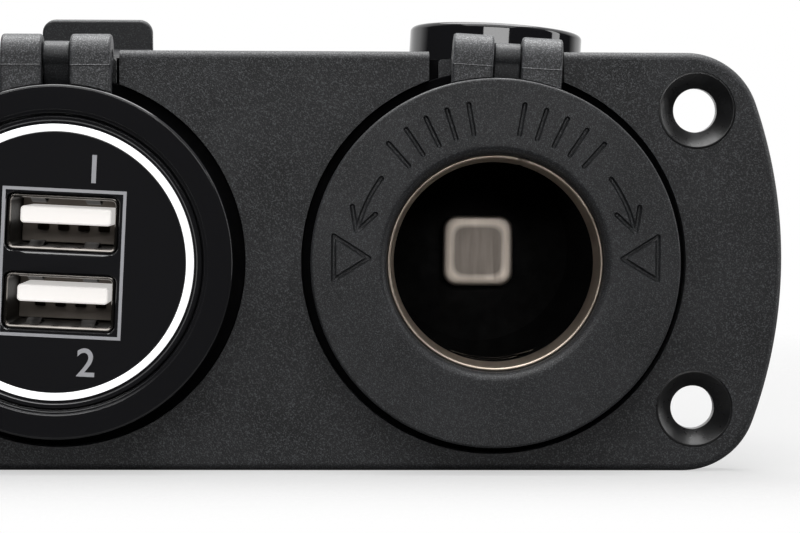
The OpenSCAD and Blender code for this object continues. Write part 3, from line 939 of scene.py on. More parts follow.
@dataclass
class Panel:
    """The moulded panel: a bowed plate with screw holes, outlet holes and hinge notches."""

    half_l: float = 54.2
    height: float = 44.9
    corner_r: float = 8.0
    bow_r: float = 51.0
    edge_r: float = 0.85
    back_r: float = 0.2
    screw_x: float = 44.85
    screw_z: float = 16.0
    screw_r: float = 2.35
    sink_r: float = 3.9
    hole_r: float = 14.4
    notch_w: float = 14.4
    notch_floor: float = 16.8
    ledge_w: float = 11.8
    ledge_h: float = 21.7
    ledge_y: float = -0.9
    slot_w: float = 3.2
    slot_foot: float = 13.6
    soft_edge: float = 0.16
    seat_t: float = 0.24
    strip_t: float = 0.25
    groove_in: float = 18.25
    groove_out: tuple[float, float] = (19.9, 20.6)
    groove_y: float = -0.95
    through: tuple[float, float] = (-4.0, 1.0)

    def outline(self, inset: float) -> np.ndarray:
        """The outline drawn in by an inset.

        Each end is an arc of the bow's radius up to the angle where the corner's circle touches
        it, then the corner's arc up to the straight edge; both radii shrink by the inset.

        Args:
            inset: How far inwards.

        Returns:
            The closed outline, counter-clockwise.
        """
        bow_x, corner_z = self.half_l - self.bow_r, self.height / 2 - self.corner_r
        meet = math.asin(corner_z / (self.bow_r - self.corner_r))
        corner_x = bow_x + (self.bow_r - self.corner_r) * math.cos(meet)
        a = np.linspace(0, meet, 24)[:, None]
        b = np.linspace(meet, math.pi / 2, 24)[1:, None]
        bow = np.array([bow_x, 0]) + (self.bow_r - inset) * np.hstack([np.cos(a), np.sin(a)])
        corner_way = np.hstack([np.cos(b), np.sin(b)])
        corner = np.array([corner_x, corner_z]) + (self.corner_r - inset) * corner_way
        right = np.concatenate([bow, corner])
        upper = np.concatenate([right, right[::-1] * (-1, 1)])
        return np.concatenate([upper, upper[-2:0:-1] * (1, -1)])

    def screw_cutter(self) -> Mesh:
        """A hole with a 45 degree countersink, larger all round by the screw seat's thickness."""
        y0, y1 = LAYOUT.front_y, self.through[1]
        wide, narrow = self.sink_r + self.seat_t, self.screw_r + self.seat_t
        depth = self.sink_r - self.screw_r
        return turned("screw_cutter", np.array([
            [0, y0 - 0.6], [wide, y0 - 0.6], [wide, y0 + 0.15], [narrow, y0 + depth + 0.15],
            [narrow, y1], [0, y1],
        ]), 96)

    def seat_mesh(self) -> Mesh:
        """The smooth countersunk seat that lines a screw hole."""
        y0, t = LAYOUT.front_y, self.seat_t - 0.02
        wide, narrow = self.sink_r, self.screw_r
        depth = wide - narrow
        return turned("screw_seat", fillet([
            (narrow, -0.02, 0.1), (narrow, y0 + depth, 0.12), (wide, y0, 0.1),
            (wide + t, y0 + 0.02, 0.06), (wide + t, y0 + 0.17), (narrow + t, y0 + depth + 0.17),
            (narrow + t, -0.02),
        ], 4), 96)

    def groove_cutter(self, side: Side) -> Mesh:
        """The round groove that an outlet's collar sits in, a little wider than its flange."""
        out = side.pick(*self.groove_out)
        return turned("groove_cutter", fillet([
            (self.groove_in, self.groove_y), (self.groove_in, self.through[0]),
            (out, self.through[0]), (out, self.groove_y, 0.3),
        ]), 200)

    def notch_sides(self, side: Side) -> tuple[float, float]:
        """A notch's two sides across its outlet, which isn't quite central."""
        middle = side.pick(-0.7, 0.2)
        return middle - self.notch_w / 2, middle + self.notch_w / 2

    def notch_cutters(self, side: Side) -> list[Mesh]:
        """The cutters of one hinge's notch, which leave a ledge standing at its back."""
        left, right = self.notch_sides(side)
        top, low, ledge = self.height / 2 + 2, self.notch_floor, self.ledge_w / 2
        half, foot = self.slot_w / 2, self.slot_foot
        front = fillet([(left, low, 0.7), (right, low, 0.7), (right, top), (left, top)])
        sides = fillet([
            (left, low, 0.3), (-ledge, low, 0.2), (-ledge, self.ledge_h, 0.4),
            (ledge, self.ledge_h, 0.4), (ledge, low, 0.2), (right, low, 0.3), (right, top),
            (left, top),
        ])
        slot = fillet([(-half, foot), (half, foot), (half, top), (-half, top)])
        outlet, (y0, y1) = LAYOUT.outlet(side), self.through
        return [
            moved(prism("notch", outline, np.array([[0, start], [0, end]])), place)
            for outline, start, end, place in (
                (front, y0, self.ledge_y, outlet),
                (sides, self.ledge_y - 0.01, y1, outlet),
                (slot, y0, y1, LAYOUT.collar(side)),
            )
        ]

    def shade_filler_mesh(self, side: Side) -> Mesh:
        """A near-black ring at the bottom of an outlet's groove and strips beside the ledge:
        painted shade for the deep gaps.
        """
        left, right = self.notch_sides(side)
        gap, ledge = 0.03, self.ledge_w / 2
        low, high = self.notch_floor + gap, self.ledge_h
        strips = [
            box_mesh("shade_filler_strip", (a + gap, -self.strip_t, low), (b - gap, -gap, high), 0.03)
            for a, b in ((left, -ledge), (ledge, right))
        ]
        inner, out = self.groove_in + 0.02, side.pick(*self.groove_out) - 0.04
        top, y = self.groove_y - 0.5, self.groove_y - 0.02
        outline = fillet([(inner, y), (inner, top), (out, top, 0.15), (out, y, 0.25)], 3)
        ring = turned("collar_shade_filler", outline, 160)
        return joined("collar_shade_filler", [ring, *strips])

    def build(self) -> None:
        """Carves the plate and softens every cut edge."""
        section = edge_section(LAYOUT.front_y, 0, self.edge_r, self.back_r, 7)
        plate = moved(prism("panel_plate", self.outline, section), shift(z=-LAYOUT.drop))
        screws = [shift(x * self.screw_x, 0, z * self.screw_z) for x in (-1, 1) for z in (-1, 1)]
        tools = [moved(self.screw_cutter(), place) for place in screws]
        for side in Side:
            hole = turned("hole_cutter", rod(self.hole_r, *self.through), 160)
            tools.append(moved(hole, LAYOUT.outlet(side)))
            tools.append(moved(self.groove_cutter(side), LAYOUT.outlet(side)))
            tools += self.notch_cutters(side)
        plate = bevelled(boolean(plate, tools), self.soft_edge, 2, 32)
        make_piece("panel_moulding", plate, Matrix(), Finishes.PANEL, stands_for=["panel"])
        seats = joined("screw_seats", [moved(self.seat_mesh(), place) for place in screws])
        make_piece("panel_screw_seats", seats, Matrix(), Finishes.SEAT)
        for side in Side:
            name, filler = f"{side.name.lower()}_collar_shade_filler", self.shade_filler_mesh(side)
            make_piece(name, filler, LAYOUT.outlet(side), Finishes.SHADE_FILLER)


@dataclass
class Socket:
    """The plug socket: flange, threaded barrel, metal lining and sprung centre contact."""

    flange_r: float = 19.55
    edge_r: float = 0.3
    mouth_r: float = 12.45
    wall_r: float = 11.5
    lip_y: float = -5.5
    barrel_y: float = 0.5
    end_y: float = 33.5
    lip_r: float = 11.12
    bore_r: float = 10.7
    flare_y: float = -2.3
    seat_y: float = 27.0
    seat_r: float = 10.95
    lining_y: float = 30.45
    mark_d: float = 0.4
    mark_w: float = 0.56
    tick_r: tuple[float, float] = (13.8, 17.0)
    ticks: tuple[int, ...] = (10, 18, 26, 34, 42)
    window: tuple[float, float] = (1.55, 3.6)
    window_y: float = 1.0
    window_d: float = 0.3
    seam_angle: float = 15.0
    contact_w: float = 8.4
    contact_y: float = 27.3
    stem_r: float = 1.4
    stem_y: float = 32.5
    coil_r: tuple[float, float] = (3.6, 2.6)
    coil_y: tuple[float, float] = (28.56, 30.24)
    coil_turns: float = 2.6
    wire_r: float = 0.24

    def flange_mesh(self) -> Mesh:
        """The flange: turned, with a quarter-round mouth and a fine rounding at its rim."""
        a = np.linspace(0, math.pi / 2, 11)
        mouth = np.stack([
            self.mouth_r - (self.mouth_r - self.wall_r) * np.sin(a),
            LAYOUT.flange_y + (self.lip_y - LAYOUT.flange_y) * (1 - np.cos(a)),
        ], 1)
        root, collar, front = LAYOUT.root_r, LAYOUT.collar_y, LAYOUT.flange_y
        outside = fillet([
            (self.wall_r, self.barrel_y), (root, self.barrel_y), (root, collar),
            (self.flange_r, collar, 0.15), (self.flange_r, front, self.edge_r),
            (self.mouth_r + 0.3, front),
        ])
        return turned("flange", np.concatenate([outside, mouth]), 256)

    def mark_cutters(self) -> list[Mesh]:
        """Cutters for the engraved arrows, triangles and graduation ticks."""
        y = LAYOUT.flange_y
        section = np.array([[0, y - 0.5], [0, y], [0.35 * self.mark_w, y + self.mark_d]])
        section = np.insert(section, 2, [0.1 * self.mark_w, y + 0.7 * self.mark_d], 0)
        paths = []
        for side in (-1, 1):
            flip = np.array([side, 1])
            paths.append(ring_arc(15.05, 53.5, 76.0) * flip)
            paths.append(straight((12.7, 5.2), (14.68, 3.35)) * flip)
            paths.append(straight((15.15, 6.0), (14.75, 3.45)) * flip)
            inner, top, bottom = (13.4, 0.55), (17.1, 2.9), (17.1, -1.75)
            sides = ((inner, top), (top, bottom), (bottom, inner))
            paths += [straight(p, q) * flip for p, q in sides]
            for tick in self.ticks:
                angle = math.radians(side * tick)
                ray = np.array([math.sin(angle), math.cos(angle)])
                paths.append(straight(*(ray * r for r in self.tick_r)))
        return [prism("mark", stroke_outline(path, self.mark_w), section) for path in paths]

    def barrel_mesh(self) -> Mesh:
        """The barrel with a coarse helical thread."""
        return threaded_tube("socket_barrel", self.wall_r, self.barrel_y, self.end_y)

    def lining_mesh(self) -> Mesh:
        """The polished lining with a pressed six-sided window low in its wall.

        Inside radius at (angle, depth): the bore's radius, plus a depth pressed along the
        window's outline, which is a bell of the distance to that outline.

        Returns:
            A closed tube.
        """
        a, front = full_circle(320), self.flare_y + 0.02
        y = np.concatenate([np.linspace(front, 4, 46), np.linspace(4.6, self.seat_y, 14)])[None, :]
        along = (y - self.window_y) / self.window[0]
        across = (a - math.pi) * self.bore_r / self.window[1]
        reach = np.maximum(np.abs(along), np.abs(across) + 0.45 * np.abs(along) - 0.2)
        inside = self.bore_r + self.window_d * np.exp(-((reach - 0.85) / 0.16) ** 2)
        back = [self.seat_r, self.seat_r, self.wall_r - 0.05, self.wall_r - 0.05]
        radius = np.concatenate([inside, np.broadcast_to(back, (len(a), 4))], 1)
        depth = np.concatenate([y, [[self.seat_y, self.lining_y, self.lining_y, front]]], 1)
        return grid_mesh("socket_lining", round_grid(a, radius, depth))

    def lip_mesh(self) -> Mesh:
        """The rolled lip and its flare, whose sheet ends in a small notched seam.

        The lip's front depth sinks by 0.35 mm in a narrow bell at the seam's angle.

        Returns:
            A closed ring.
        """
        outer = self.wall_r - 0.04
        profile = fillet([
            (outer, self.flare_y), (outer, self.lip_y, 0.16), (self.lip_r, self.lip_y, 0.17),
            (self.lip_r - 0.08, -4.5), (10.86, -3.3, 0.5), (self.bore_r, self.flare_y),
        ])
        a, r, y = full_circle(320), profile[None, :, 0], profile[None, :, 1]
        bell = np.exp(-((np.degrees(a) - self.seam_angle) / 1.6) ** 2)
        sink = 0.35 * bell * np.clip((-4.9 - y) / 0.4, 0, 1)
        return grid_mesh("socket_lip", round_grid(a, r + 0.05 * bell, y + sink))

    def contact_mesh(self) -> Mesh:
        """The contact's cap, with a rounded edge and a nearly flat face, and its stem."""
        y = self.contact_y
        section = np.array([
            [0.2, y + 1.0], [0.04, y + 0.92], [0.0, y + 0.8], [0.0, y + 0.4], [0.06, y + 0.27],
            [0.2, y + 0.17], [0.45, y + 0.1], [0.9, y + 0.05], [1.3, y + 0.05], [1.6, y + 0.055],
        ])
        outline = rounded_rectangle(self.contact_w, self.contact_w, 1.7, 12)
        cap = prism("contact_cap", outline, section)
        r, end = self.stem_r, self.stem_y
        stem = fillet([(0, y + 0.9), (r, y + 0.9), (r, end, 0.3), (0, end)])
        return joined("contact", [cap, turned("contact_stem", stem, 48)])

    def spring_mesh(self) -> Mesh:
        """A conical spring: a wire along a helix that narrows towards its back.

        At share t of its length the wire's centre is at an angle of t times its turns, and its
        section circle lies in the plane of the radius and the axis.

        Returns:
            The wire with closed ends.
        """
        t = np.linspace(0, 1, 160)[:, None]
        b = full_circle(12).T
        radius = self.coil_r[0] * (1 - t) + self.coil_r[1] * t + self.wire_r * np.cos(b)
        depth = self.coil_y[0] * (1 - t) + self.coil_y[1] * t + self.wire_r * np.sin(b)
        grid = round_grid(FULL_TURN * self.coil_turns * t, radius, depth)
        return grid_mesh("contact_spring", grid, caps=True)

    def build(self) -> None:
        """Makes and dresses the socket's pieces."""
        place = LAYOUT.outlet(Side.SOCKET)
        flange = bevelled(boolean(self.flange_mesh(), self.mark_cutters()), 0.05, 1, 45)
        for part, mesh, finish, slot, node in (
            ("flange", flange, Finishes.FLANGE, "flange_plastic", "socket_housing"),
            ("barrel", self.barrel_mesh(), Finishes.BARREL, "flange_plastic", "socket_housing"),
            ("lip", self.lip_mesh(), Finishes.LIP, "shell_metal", "socket_shell"),
            ("lining", self.lining_mesh(), Finishes.SHELL, "shell_metal", "socket_shell"),
        ):
            make_piece(f"socket_{part}", mesh, place, finish, stands_for=[node])
        contact, body, nodes = self.contact_mesh(), Body.CONTACT, ["center_contact"]
        make_piece("contact_button", contact, place, Finishes.CONTACT, body, nodes)
        coil, nodes = self.spring_mesh(), ["contact_spring"]
        spring = make_piece(
            "contact_spring_wire", coil, place, Finishes.SPRING, stands_for=nodes
        )
        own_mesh(spring)


def threaded_tube(
    name: str, inner_r: float, y0: float, y1: float, pitch: float = 2.6, height: float = 0.5
) -> Mesh:
    """A tube with a helical thread outside.

    Outside radius at (angle, depth): root radius plus height times the ridge, where the ridge is
    the cosine of full turn * depth / pitch - angle, scaled by 1.6, moved up by 0.5 and clipped to
    0..1, and it fades over a millimetre at each end.

    Args:
        name: The mesh's name.
        inner_r: The tube's inner radius.
        y0: Its front.
        y1: Its back.
        pitch: The thread's pitch.
        height: The thread's height over the root radius.

    Returns:
        The closed tube.
    """
    a = full_circle(128)
    y = np.arange(y0, y1 + 0.01, pitch / 10)[None, :]
    y[0, -1] = y1
    ridge = np.clip(0.5 + 1.6 * np.cos(FULL_TURN * y / pitch - a), 0, 1)
    fade = np.clip(np.minimum(y - y0 - 0.3, y1 - 0.3 - y), 0, 1)
    outside = LAYOUT.root_r + height * ridge * fade
    radius = np.concatenate([outside, np.full((len(a), 2), inner_r)], 1)
    depth = np.concatenate([y, [[y1, y0]]], 1)
    return grid_mesh(name, round_grid(a, radius, depth))


@dataclass
class Charger:
    """The charging outlet: polished bezel and face, lit ring, two ports and what is behind them."""

    bezel_r: float = 18.7
    edge_r: float = 0.28
    step_r: float = 16.1
    ring_out: float = 14.55
    ring_in: float = 13.8
    face_y: float = -6.4
    ring_y: float = -6.45
    back_y: float = -4.8
    port_w: float = 11.85
    port_h: float = 6.0
    port_pitch: float = 8.3
    port_r: float = 0.75
    wall: float = 0.35
    shell_y0: float = -5.95
    shell_y1: float = 4.6
    tongue_w: float = 9.6
    tongue_h: float = 1.8
    frame_w: float = 13.0
    frame_h: float = 15.7
    line_w: float = 0.34
    digit_h: float = 3.1
    tube_r: float = 12.2
    tube_y: tuple[float, float] = (0.5, 28.0)
    strip_x: tuple[float, ...] = (-3.3, -1.1, 1.1, 3.3)
    tongue_z: float = 0.75

    def bezel_mesh(self) -> Mesh:
        """The bezel: a flat ring with round edges, then a fine step down to the lit ring."""
        y, collar, back = LAYOUT.flange_y, LAYOUT.collar_y, self.back_y + 0.05
        step, start = self.step_r, self.tube_y[0]
        return turned("charger_bezel", fillet([
            (self.tube_r, back), (self.tube_r, start), (LAYOUT.root_r, start),
            (LAYOUT.root_r, collar), (self.bezel_r, collar, 0.15), (self.bezel_r, y, self.edge_r),
            (step, y, 0.12), (step - 0.08, y + 0.2, 0.05), (step - 0.38, y + 0.2, 0.1),
            (step - 0.4, y + 0.75, 0.05), (15.56, y + 0.75, 0.04), (15.55, back),
        ], 5), 256)

    def rim_mesh(self) -> Mesh:
        """A thin bright-edged rib between the bezel and the lit ring."""
        return turned("charger_rim", fillet([
            (14.86, -5.5), (14.86, -6.28), (14.99, -6.42, 0.03), (15.3, -6.42, 0.03),
            (15.43, -6.28), (15.43, -5.5),
        ], 4), 256)

    def face_mesh(self) -> Mesh:
        """The face plate with its two rounded port windows, and the flange behind it."""
        y, back, radius = self.face_y, self.back_y, self.ring_in - 0.04
        plate = turned("charger_face", fillet([
            (0, y), (radius, y, 0.06), (radius, -5.45), (15.5, -5.45), (15.5, back), (0, back),
        ], 3), 200)
        section = np.array([[-0.14, y - 0.3], [-0.14, y], [0.0, y + 0.16], [0.0, back + 0.5]])
        outline = rounded_rectangle(self.port_w, self.port_h, self.port_r, 8)
        ports, half = turn(LAYOUT.port_turn, "Y") @ shift(LAYOUT.port_x), self.port_pitch / 2
        tools = [
            moved(prism("window", outline, section), ports @ shift(z=z)) for z in (-half, half)
        ]
        return bevelled(boolean(plate, tools), 0.05, 2, 35)

    def ring_mesh(self) -> Mesh:
        """The lit ring: a low dome between two circles."""
        a = np.linspace(0, math.pi, 13)
        middle, half = (self.ring_out + self.ring_in) / 2, (self.ring_out - self.ring_in) / 2
        dome = np.stack([middle - half * np.cos(a), self.ring_y + 0.08 - 0.08 * np.sin(a)], 1)
        foot = [[self.ring_out, -5.5], [self.ring_in, -5.5]]
        return turned("light_ring", np.concatenate([dome, foot]), 256)

    def shell_mesh(self) -> Mesh:
        """One port's stamped shell: an open box with a flared mouth and punched spring tabs.

        Each ring of the shell is a rounded rectangle, which grows by 0.06 mm near the mouth. The
        walls' inner side is the same rectangle drawn in by the sheet's thickness.

        Returns:
            The shell about the port's own centre.
        """
        w, h = self.port_w - 0.24, self.port_h - 0.24
        front, back, t = self.shell_y0, self.shell_y1, self.wall
        rows = np.array([
            (0.0, back), (0.0, front + 0.5), (-0.06, front + 0.12), (0.0, front),
            (t - 0.18, front), (t - 0.05, front + 0.25), (t, front + 0.7), (t, back - t),
        ])
        shell = prism("port_shell", rounded_rectangle(w, h, self.port_r, 6), rows)
        tabs = [
            self.tab_mesh(x, side * (h / 2 - t), -side) for x in (-2.9, 2.9) for side in (-1, 1)
        ]
        return joined("port_shell", [shell, *tabs])

    @staticmethod
    def tab_mesh(x: float, wall_z: float, side: int) -> Mesh:
        """A spring tab that curves out of the wall into the port.

        Its height over the wall at share t of its length is 0.5 mm times sin(pi t) squared.

        Args:
            x: Its middle across the port.
            wall_z: Height of the wall it is punched from.
            side: Which way it bends, 1 for up.

        Returns:
            The tab, 0.18 mm thick.
        """
        t = np.linspace(0, 1, 14)
        height = 0.5 * np.sin(math.pi * t) ** 2
        over, under = wall_z + side * (height + 0.02), wall_z + side * (height - 0.16)
        return ribbon("port_tab", sheet_section(-4.9 + 5.2 * t, over, under), x, 0.75, 0.1)

    def tongue_mesh(self) -> Mesh:
        """One port's tongue: a block with round edges, and four slots in its lower face."""
        outline = rounded_rectangle(self.tongue_w, self.tongue_h, 0.4, 6)
        tongue = prism("port_tongue", outline, edge_section(-5.0, 4.1, 0.22, 0.02, 4))
        low = -self.tongue_h / 2
        slots = [
            box_mesh("slot", (x - 0.62, -4.3, low - 0.4), (x + 0.62, 3.0, low + 0.36), 0.05)
            for x in self.strip_x
        ]
        return moved(boolean(tongue, slots), shift(0.2, 0, self.tongue_z))

    def contacts_mesh(self) -> Mesh:
        """Four strips in the tongue's slots, which bow down a little near their middle."""
        t = np.linspace(0, 1, 12)
        top = self.tongue_z - self.tongue_h / 2 + 0.22 - 0.05 * np.sin(math.pi * t)
        section = sheet_section(-3.6 + 6.4 * t, top, top - 0.26)
        strips = []
        for x in self.strip_x:
            strips.append(ribbon("strip", section, x, 0.4, 0.06))
            low, high = (x - 0.5, 2.75, -1.05), (x + 0.6, 3.15, -0.28)
            strips.append(box_mesh("strip_foot", low, high, 0.04))
        return moved(joined("port_contacts", strips), shift(0.2))

    def mouth_mesh(self) -> Mesh:
        """The polished rounded rim at the front of one port's shell."""
        outer = rounded_rectangle(self.port_w - 0.26, self.port_h - 0.26, self.port_r, 6)
        section = [
            (0.0, 0.3), (-0.08, 0.06), (-0.02, -0.1), (0.1, -0.16), (0.24, -0.1), (0.32, 0.05),
            (0.32, 0.3),
        ]
        rings = [level(offset(outer, inset), self.shell_y0 + depth) for inset, depth in section]
        return grid_mesh("port_mouth", np.array(rings))

    def carrier_mesh(self) -> Mesh:
        """The block at a port's back that its tongue grows from, notched under each strip."""
        block = box_mesh("carrier", (-5.4, 3.2, -2.4), (5.4, 4.2, 2.4), 0.1)
        notches = [
            box_mesh("notch", (x - 0.45, 2.9, -1.05), (x + 0.85, 4.0, -0.2), 0.02)
            for x in self.strip_x
        ]
        return boolean(block, notches)

    def frame_mesh(self) -> Mesh:
        """The printed frame round both ports: a flat square line, 0.02 mm proud of the face."""
        rows = []
        for inset, y in ((0, 0), (0, -0.02), (self.line_w, -0.02), (self.line_w, 0)):
            w, h = self.frame_w / 2 - inset, self.frame_h / 2 - inset
            rows.append([[w, y, h], [-w, y, h], [-w, y, -h], [w, y, -h]])
        frame_line = grid_mesh("printed_frame", np.array(rows, float))
        return moved(frame_line, shift(0.13, self.face_y - 0.002, -0.05))

    def digit_mesh(self, text: str, x: float, z: float) -> Mesh:
        """A printed number beside a port, from Blender's own font.

        Args:
            text: The digit.
            x: Its middle across the face.
            z: Its middle up the face.

        Returns:
            A thin raised mesh.
        """
        curve = bpy.data.curves.new("digit", "FONT")
        curve.body = text
        curve.size = self.digit_h * 1.37
        curve.align_x = "CENTER"
        curve.extrude = 0.011
        curve.offset = 0.03
        holder = linked("digit", curve)
        mesh = applied(holder)
        bpy.data.objects.remove(holder)
        place = shift(x, self.face_y - 0.011, z - self.digit_h / 2) @ turn(90, "X")
        return tidy_mesh(moved(mesh, place), 1e-5)

    def build(self) -> None:
        """Makes and dresses the charger's pieces."""
        place, ports = LAYOUT.outlet(Side.CHARGER), LAYOUT.ports()
        barrel, housing = threaded_tube("barrel", self.tube_r, *self.tube_y), ["charger_housing"]
        for part, mesh, finish, slot, nodes in (
            ("bezel", self.bezel_mesh(), Finishes.BEZEL, "bezel_gloss", housing),
            ("rim", self.rim_mesh(), Finishes.BEZEL, "bezel_gloss", []),
            ("barrel", barrel, Finishes.BARREL, "bezel_gloss", housing),
            ("face_plate", self.face_mesh(), Finishes.FACE, "face_gloss", ["charger_face"]),
            ("lit_ring", self.ring_mesh(), Finishes.RING, "ring_glow", ["light_ring"]),
        ):
            make_piece(f"charger_{part}", mesh, place, finish, stands_for=nodes)
        for name, sign in (("upper", 1), ("lower", -1)):
            at = ports @ shift(z=sign * self.port_pitch / 2)
            for part, mesh, finish, slot, real in (
                ("shell", self.shell_mesh(), Finishes.PORT, "port_metal", True),
                ("mouth", self.mouth_mesh(), Finishes.MOUTH, "port_metal", False),
                ("carrier", self.carrier_mesh(), Finishes.CARRIER, "insulator", False),
                ("tongue", self.tongue_mesh(), Finishes.TONGUE, "tongue_plastic", True),
                ("contacts", self.contacts_mesh(), Finishes.STRIP, "port_gold", True),
            ):
                nodes = [f"port_{part}_{name}"] if real else []
                make_piece(f"{name}_port_{part}", mesh, at, finish, stands_for=nodes)
        one, two = self.digit_mesh("1", 3.1, 10.1), self.digit_mesh("2", 3.1, -10.3)
        for name, mesh in (("frame", self.frame_mesh()), ("one", one), ("two", two)):
            make_piece(f"face_print_{name}", mesh, ports, Finishes.INK)


@dataclass
class HingeCollar:
    """The collar under a flange, with two hooked knuckles that carry the hinge pin."""

    side: Side
    ring_in: float = 14.05
    ring_out: float = 18.2
    ring_back: float = -3.6
    knuckle_r: float = 2.2
    knuckle_w: float = 4.3
    gap: float = 3.0
    pin_r: float = 0.62
    seam_h: float = 20.75
    rim_r: tuple[float, float] = (18.85, 19.68)

    def knuckle_outline(self) -> np.ndarray:
        """The hook's outline (y, z): up the front past a fine moulding seam, over the pin, down.

        The top is an arc of the knuckle's radius about the hinge line.

        Returns:
            The closed outline, counter-clockwise.
        """
        hy, hz, r = LAYOUT.hinge_y, LAYOUT.hinge_h, self.knuckle_r
        a = np.linspace(math.radians(-62), math.radians(180), 40)[:, None]
        arc = np.array([hy, hz]) + r * np.hstack([np.cos(a), np.sin(a)])
        front = hy - r
        high, back = self.seam_h, self.ring_back
        seam = np.array([[front, high + 0.08], [front - 0.07, high], [front, high - 0.08]])
        foot = fillet([(front, 20.3), (front, 16.2), (back, 16.2), (back, 19.6, 0.4)], 5)
        return np.concatenate([arc, seam, foot])

    def mesh(self) -> Mesh:
        """The ring and its two knuckles, with the pin's hole through them."""
        inner, out, y, back = self.ring_in, self.ring_out, LAYOUT.collar_y, self.ring_back
        outline = fillet([(inner, y), (out, y, 0.15), (out, back, 0.15), (inner, back)], 3)
        ring = turned("collar_ring", outline)
        front = rod(self.side.pick(*self.rim_r), -9.0, LAYOUT.collar_y)
        parts = [ring]
        for sign in (-1, 1):
            middle = sign * (self.gap + self.knuckle_w) / 2
            section = edge_section(-self.knuckle_w / 2, self.knuckle_w / 2, 0.32, 0.32, 5)
            hook = prism("knuckle", self.knuckle_outline(), section)
            hook = moved(hook, shift(middle) @ turn(90, "Z"))
            line = shift(0, LAYOUT.hinge_y, LAYOUT.hinge_h) @ turn(90, "Z")
            drill = moved(turned("drill", rod(self.pin_r, -9.0, 9.0), 40), line)
            parts.append(boolean(hook, [drill, turned("flange_space", front)]))
        return joined("hinge_collar", parts)

    def build(self) -> None:
        """Makes and dresses the collar."""
        name, place = self.side.name.lower(), LAYOUT.collar(self.side)
        make_piece(
            f"{name}_hinge_collar", self.mesh(), place, Finishes.HINGE,
            stands_for=[f"{name}_collar"],
        )


